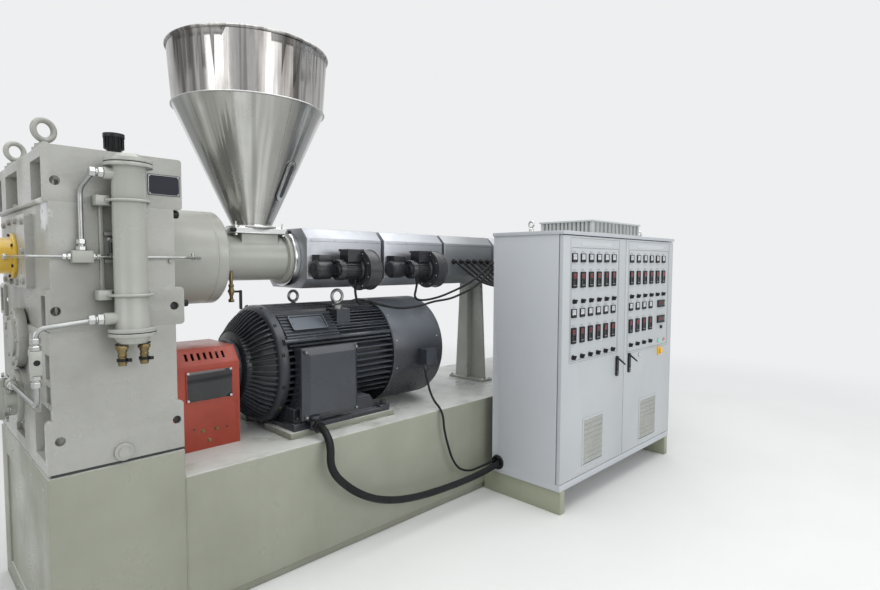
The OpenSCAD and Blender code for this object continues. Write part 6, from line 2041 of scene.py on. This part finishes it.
    def handle(self, node: str, body: Body, x: float) -> None:
        """A black swing handle on its plate, with two bright screws.

        Args:
            node: The handle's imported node.
            body: The body it rides on.
            x: The middle of its plate.
        """
        y = self.front
        shape = Shape()
        shape.extrude(soft_rect((x - 0.015, 0.760), (x + 0.015, 0.898), 0.012), Axis.Y, y - 0.012, y)
        shape.round_edges(0.003, above=50)
        grip = [Vector(p) for p in ((x, y - 0.014, 0.884), (x, y - 0.024, 0.876), (x, y - 0.044, 0.862),
                                    (x, y - 0.063, 0.848))]
        rows = []
        for p, (w, t) in zip(grip, ((0.010, 0.008), (0.010, 0.008), (0.009, 0.007), (0.0085, 0.006))):
            rows.append([p + Vector((w * sx, 0.35 * t * sz, t * sz)) for sx,
                         sz in ((-1, -0.6), (-0.6, -1), (0.6, -1), (1, -0.6), (1, 0.6), (0.6, 1), (-0.6, 1),
                                (-1, 0.6))])
        shape.surface(rows, close=True)
        shape.face(rows[0]).face(rows[-1])
        bmesh.ops.remove_doubles(shape.bm, verts=shape.bm.verts, dist=1e-6)
        shape.lathe([(0, 0.0145), (0.008, 0.0145), (0.010, 0.012), (0.011, 0.010)], (x, y, 0.806),
                    Axis.FRONT.value, 24)
        shape.place(f"{node}_dressed", Palette.BLACK, body, smooth=40, stands_for=(node,))
        screws = Shape()
        for z in (0.772, 0.790):
            screws.cap_screw((x, y - 0.0118, z), Axis.FRONT.value, 0.0048, 0.0026)
        screws.place(f"{node}_screws", Palette.BRIGHT, body)

    def vent(self) -> None:
        """Lid and base flange of the roof vent, the dark sheet behind its slats, and the slats."""
        rounded("roof_vent", Palette.VENT, 0.0015)
        lo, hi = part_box("roof_vent")
        edge = Shape()
        edge.box((lo[0] - 0.008, lo[1] - 0.008, hi[2] - 0.0105), (hi[0] + 0.008, hi[1] + 0.008, hi[2] - 0.0005))
        edge.box((lo[0] - 0.010, lo[1] - 0.010, lo[2]), (hi[0] + 0.010, hi[1] + 0.010, lo[2] + 0.005))
        edge.round_edges(0.002).place("vent_lid", Palette.VENT)
        # Painted shade: the sheet behind the slats is dark grey for the shaded inside of the vent.
        dark = Shape()
        dark.box((lo[0] + 0.020, lo[1] + 0.0068, lo[2] + 0.014), (hi[0] - 0.020, lo[1] + 0.0082, hi[2] - 0.013))
        dark.box((lo[0] + 0.0068, lo[1] + 0.020, lo[2] + 0.010), (lo[0] + 0.0082, hi[1] - 0.020, hi[2] - 0.013))
        dark.place("vent_mesh_shade", Palette.VENT_SHADE)
        slats = Shape()
        for x in spread(lo[0] + 0.012, hi[0] - 0.018, 46):
            slats.extrude([(x, lo[1] - 0.003), (x + 0.0026, lo[1] - 0.003), (x + 0.0075, lo[1] + 0.006),
                           (x + 0.0045, lo[1] + 0.006)], Axis.Z, lo[2] + 0.012, hi[2] - 0.011)
        for y in spread(lo[1] + 0.012, hi[1] - 0.018, 28):
            slats.extrude([(lo[0] - 0.003, y), (lo[0] - 0.003, y + 0.0026), (lo[0] + 0.006, y + 0.0075),
                           (lo[0] + 0.006, y + 0.0045)], Axis.Z, lo[2] + 0.012, hi[2] - 0.011)
        slats.place("vent_slats", Palette.VENT)

    def grommets(self) -> None:
        """Black ring in the cable hole, and the sleeves of the cables that enter the back."""
        ring = Shape()
        ring.lathe([(0.0335, 0.020), (0.0335, -0.006), (0.037, -0.010), (0.043, -0.010), (0.0475, -0.006),
                    (0.0475, 0.0), (0.0395, 0.0), (0.0395, 0.020)], self.grommet, Axis.X.value, 48)
        ring.place("cable_grommet", Palette.BLACK, smooth=60)
        glands = Shape()
        seats = [(x, 1.360) for x in HEATER_GLANDS] + [(1.440, 1.495), (1.452, 1.536)]
        for x, z in seats:
            glands.nut((x, self.back, z), Axis.Y.value, 0.026, 0.007)
            glands.lathe([(0.0085, 0.034), (0.0095, 0.032), (0.0125, 0.006), (0.0125, 0.0)], (x, self.back, z),
                         Axis.Y.value, 18)
        glands.place("cabinet_cable_glands", Palette.BLACK)

    def inside(self) -> None:
        """Mounting plate with ducts, rails and rows of devices."""
        rounded("mounting_plate", Palette.ZINC, 0.001)
        y = self.plate_y
        ducts = Shape()
        fingers = Shape()
        x0, x1 = self.left + 0.085, self.right - 0.085
        for z in self.duct_levels:
            ducts.box((x0, y - 0.060, z), (x1, y - 0.056, z + 0.050))
            ducts.box((x0, y - 0.004, z), (x1, y, z + 0.050))
            for x in spread(x0 + 0.002, x1 - 0.010, self.duct_fingers):
                for level in (z, z + 0.048):
                    fingers.box((x, y - 0.058, level), (x + 0.0085, y - 0.002, level + 0.002))
        for x in (x0, x1 - 0.050):
            ducts.box((x, y - 0.0615, 0.372), (x + 0.050, y - 0.0565, 1.574))
            ducts.box((x, y - 0.005, 0.372), (x + 0.050, y - 0.001, 1.574))
        ducts.round_edges(0.001, 1).place("wire_ducts", Palette.DUCT)
        fingers.place("duct_fingers", Palette.DUCT)
        rails = Shape()
        for z in self.rail_levels:
            rails.box((x0 + 0.06, y - 0.0075, z - 0.0175), (x1 - 0.06, y - 0.0065, z + 0.0175))
            rails.box((x0 + 0.06, y - 0.0065, z - 0.0125), (x1 - 0.06, y, z + 0.0125))
        rails.place("device_rails", Palette.ZINC)
        white, black, switch, grey = Shape(), Shape(), Shape(), Shape()
        for k in range(24):
            x = x0 + 0.08 + k * 0.027
            white.extrude([(y - 0.0085, 1.418), (y - 0.060, 1.418), (y - 0.060, 1.438), (y - 0.074, 1.444),
                           (y - 0.074, 1.474), (y - 0.060, 1.480), (y - 0.060, 1.500), (y - 0.0085, 1.500)],
                          Axis.X, x, x + 0.025)
            switch.box((x + 0.008, y - 0.082, 1.456), (x + 0.017, y - 0.0735, 1.470))
        for k in range(8):
            x = x0 + 0.80 + k * 0.070
            black.box((x, y - 0.085, 1.412), (x + 0.060, y - 0.0085, 1.506))
            grey.box((x + 0.008, y - 0.090, 1.438), (x + 0.052, y - 0.0845, 1.480))
        for k in range(14):
            x = x0 + 0.08 + k * 0.094
            black.box((x, y - 0.080, 1.112), (x + 0.046, y - 0.0085, 1.206))
            grey.box((x + 0.006, y - 0.086, 1.140), (x + 0.040, y - 0.0795, 1.180))
        for k in range(10):
            x = x0 + 0.08 + k * 0.132
            for n in range(9):
                grey.box((x + 0.008 * n, y - 0.078, 0.796), (x + 0.008 * n + 0.003, y - 0.0085, 0.904))
            black.box((x + 0.002, y - 0.096, 0.812), (x + 0.066, y - 0.0775, 0.888))
        for k in range(60):
            x = x0 + 0.08 + k * 0.0125
            grey.box((x, y - 0.048, 0.474), (x + 0.0112, y - 0.0085, 0.526))
            switch.bar((x + 0.0056, y - 0.0475, 0.486), (x + 0.0056, y - 0.0492, 0.486), 0.003, 8)
        white.round_edges(0.0015, 1).place("breakers", Palette.DEVICE_WHITE)
        switch.place("breaker_levers", Palette.BLOWER)
        black.round_edges(0.002, 1).place("contactors", Palette.BLACK)
        grey.place("device_fronts", Palette.DEVICE_GREY)
        drive = Shape().box((x0 + 0.92, y - 0.180, 0.395), (x0 + 1.30, y - 0.0005, 0.615)).round_edges(0.006)
        for k in range(12):
            drive.box((x0 + 0.95 + 0.027 * k, y - 0.1825, 0.408), (x0 + 0.965 + 0.027 * k, y - 0.1795, 0.470))
        drive.place("motor_drive", Palette.DEVICE_DARK)
        panel = Shape().box((x0 + 1.05, y - 0.186, 0.520), (x0 + 1.17, y - 0.1795, 0.590)).round_edges(0.002)
        panel.place("drive_panel", Palette.SCREEN)
        wires = Shape()
        for k in range(12):
            x = x0 + 0.09 + k * 0.055
            line = smooth_route([(x, y - 0.050, 1.576), (x, y - 0.070, 1.545), (x + 0.003, y - 0.064, 1.515),
                                 (x + 0.003, y - 0.040, 1.499)])
            wires.tube(line, 0.0018, 6)
        for k in range(14):
            x = x0 + 0.10 + k * 0.094
            line = smooth_route([(x, y - 0.050, 1.276), (x, y - 0.076, 1.250), (x + 0.002, y - 0.074, 1.225),
                                 (x + 0.002, y - 0.050, 1.205)])
            wires.tube(line, 0.0022, 6)
        wires.place("duct_wires", Palette.SHEATH, smooth=60)

    def build(self) -> None:
        """Makes the cabinet."""
        rounded("cabinet_walls", Palette.CABINET, 0.0015)
        rounded("cabinet_floor", Palette.CABINET, 0.0015)
        roof = Shape.of_node("cabinet_roof").clear(lambda c: c.z > self.roof_z + 0.0005)
        roof.round_edges(0.002).place("cabinet_roof_dressed", Palette.CABINET, stands_for=("cabinet_roof",))
        eyes = Shape.of_node("cabinet_roof").clear(lambda c: c.z < self.roof_z + 0.0005)
        eyes.place("roof_eyes", Palette.BRIGHT, smooth=50, stands_for=("cabinet_roof",))
        left, right = (self.louvres[0], self.louvres[1]), (self.louvres[2], self.louvres[3])
        self.door("left_door", Body.LEFT_DOOR, self.left_panel, left)
        self.door("right_door", Body.RIGHT_DOOR, self.right_panel, right)
        left_columns = tuple(spread(1.508, 2.004, 6))
        right_columns = tuple(spread(2.268, 2.801, 6))
        Instruments("left", Body.LEFT_DOOR, left_columns, 6).build()
        Instruments("right", Body.RIGHT_DOOR, right_columns, 4).build()
        self.instrument_backs("left", Body.LEFT_DOOR, left_columns, 6)
        self.instrument_backs("right", Body.RIGHT_DOOR, right_columns, 4)
        self.handle("left_handle", Body.LEFT_DOOR, 2.076)
        self.handle("right_handle", Body.RIGHT_DOOR, 2.256)
        self.vent()
        self.grommets()
        self.inside()


@dataclass
class Cables:
    """The cables: each follows its route in the part's source."""

    motor: tuple = (
        (0.132, -0.4453, 0.671), (0.132, -0.462, 0.671), (0.131, -0.488, 0.662), (0.129, -0.514, 0.645),
        (0.126, -0.538, 0.622), (0.121, -0.556, 0.596), (0.116, -0.567, 0.568), (0.112, -0.572, 0.535),
        (0.116, -0.578, 0.495), (0.140, -0.584, 0.445), (0.188, -0.586, 0.392), (0.250, -0.588, 0.338),
        (0.330, -0.590, 0.285), (0.425, -0.592, 0.240), (0.540, -0.595, 0.205), (0.670, -0.598, 0.182),
        (0.810, -0.602, 0.170), (0.950, -0.608, 0.166), (1.090, -0.618, 0.170), (1.210, -0.630, 0.182),
        (1.310, -0.640, 0.198), (1.400, -0.646, 0.213))
    fan: tuple = (
        (0.960, -0.378, 0.8857), (0.960, -0.378, 0.862), (0.958, -0.386, 0.830), (0.957, -0.402, 0.785),
        (0.955, -0.432, 0.715), (0.955, -0.470, 0.665), (0.957, -0.508, 0.634), (0.961, -0.535, 0.585),
        (0.968, -0.541, 0.505), (0.990, -0.546, 0.415), (1.030, -0.553, 0.305), (1.085, -0.562, 0.232),
        (1.165, -0.577, 0.200), (1.260, -0.592, 0.205), (1.340, -0.606, 0.218), (1.400, -0.614, 0.226))
    blower: tuple = (
        ((0.450, -0.333, 1.4317), (0.450, -0.333, 1.400), (0.447, -0.337, 1.360), (0.450, -0.346, 1.318),
         (0.470, -0.351, 1.294), (0.500, -0.352, 1.304), (0.535, -0.354, 1.306), (0.567, -0.356, 1.294),
         (0.665, -0.365, 1.268), (0.767, -0.375, 1.254), (0.880, -0.395, 1.261), (0.995, -0.420, 1.285),
         (1.109, -0.450, 1.301), (1.199, -0.480, 1.334), (1.272, -0.510, 1.371), (1.331, -0.538, 1.423),
         (1.400, -0.549, 1.480), (1.440, -0.560, 1.495), (1.440, -0.5837, 1.495)),
        ((0.930, -0.333, 1.4317), (0.930, -0.333, 1.402), (0.916, -0.338, 1.360), (0.900, -0.346, 1.322),
         (0.915, -0.360, 1.298), (0.965, -0.385, 1.296), (1.050, -0.410, 1.312), (1.150, -0.438, 1.346),
         (1.240, -0.472, 1.388), (1.330, -0.512, 1.450), (1.410, -0.543, 1.520), (1.452, -0.558, 1.536),
         (1.452, -0.5837, 1.536)))

    def lay(self, name: str, route: Sequence[Point], diameter: float, node: str) -> None:
        """Makes one cable.

        Args:
            name: The piece's name.
            route: Its points.
            diameter: Its thickness.
            node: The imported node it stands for.
        """
        line = smooth_route(route)
        piece = Shape().tube(line, diameter / 2, 16).place(name, Palette.SHEATH, stands_for=(node,), smooth=60)

    def heater_route(self, i: int) -> list[Point]:
        """The route of one heater cable, as the source gives it."""
        a, d = HEATER_OUTLETS[i], HEATER_GLANDS[i] - HEATER_OUTLETS[i]
        return [(a, -0.2173, 1.536), (a, -0.238, 1.536), (a + 0.15 * d, -0.282, 1.490),
                (a + 0.45 * d, -0.360, 1.405), (a + 0.7 * d, -0.440, 1.370), (a + 0.95 * d, -0.520, 1.360),
                (a + d, -0.558, 1.360), (a + d, -0.5837, 1.360)]

    def build(self) -> None:
        """Makes all the cables."""
        self.lay("motor_cable_sheath", self.motor, 0.040, "motor_cable")
        self.lay("fan_cable_sheath", self.fan, 0.014, "fan_cable")
        for i in range(len(HEATER_OUTLETS)):
            self.lay(f"heater_cable_{i + 1}", self.heater_route(i), 0.016, "heater_cables")
        for i, route in enumerate(self.blower):
            self.lay(f"blower_cable_{i + 1}", route, 0.014, "blower_cables")
        sleeves = Shape()
        for x in BLOWER_LEADS:
            sleeves.lathe([(0.0075, 0.034), (0.0085, 0.032), (0.013, 0.004), (0.013, 0.0)], (x, -0.333, 1.4325),
                          Axis.DOWN.value, 18)
        sleeves.place("blower_cable_sleeves", Palette.BLACK)


def main() -> None:
    """Builds the scene and reports each piece."""
    logging.basicConfig(level=logging.INFO, format="%(message)s")
    Studio().build()
    for part in (Cables(), Base(), GearCase(), OilCircuit(), ScrewLine(), Hopper(), Zones(), Motor(), Guard(),
                 Cabinet()):
        part.build()
        log.info("built %s", type(part).__name__)
    for name in Shape.placed:
        log.info("piece %s", name)


if __name__ == "__main__":
    main()
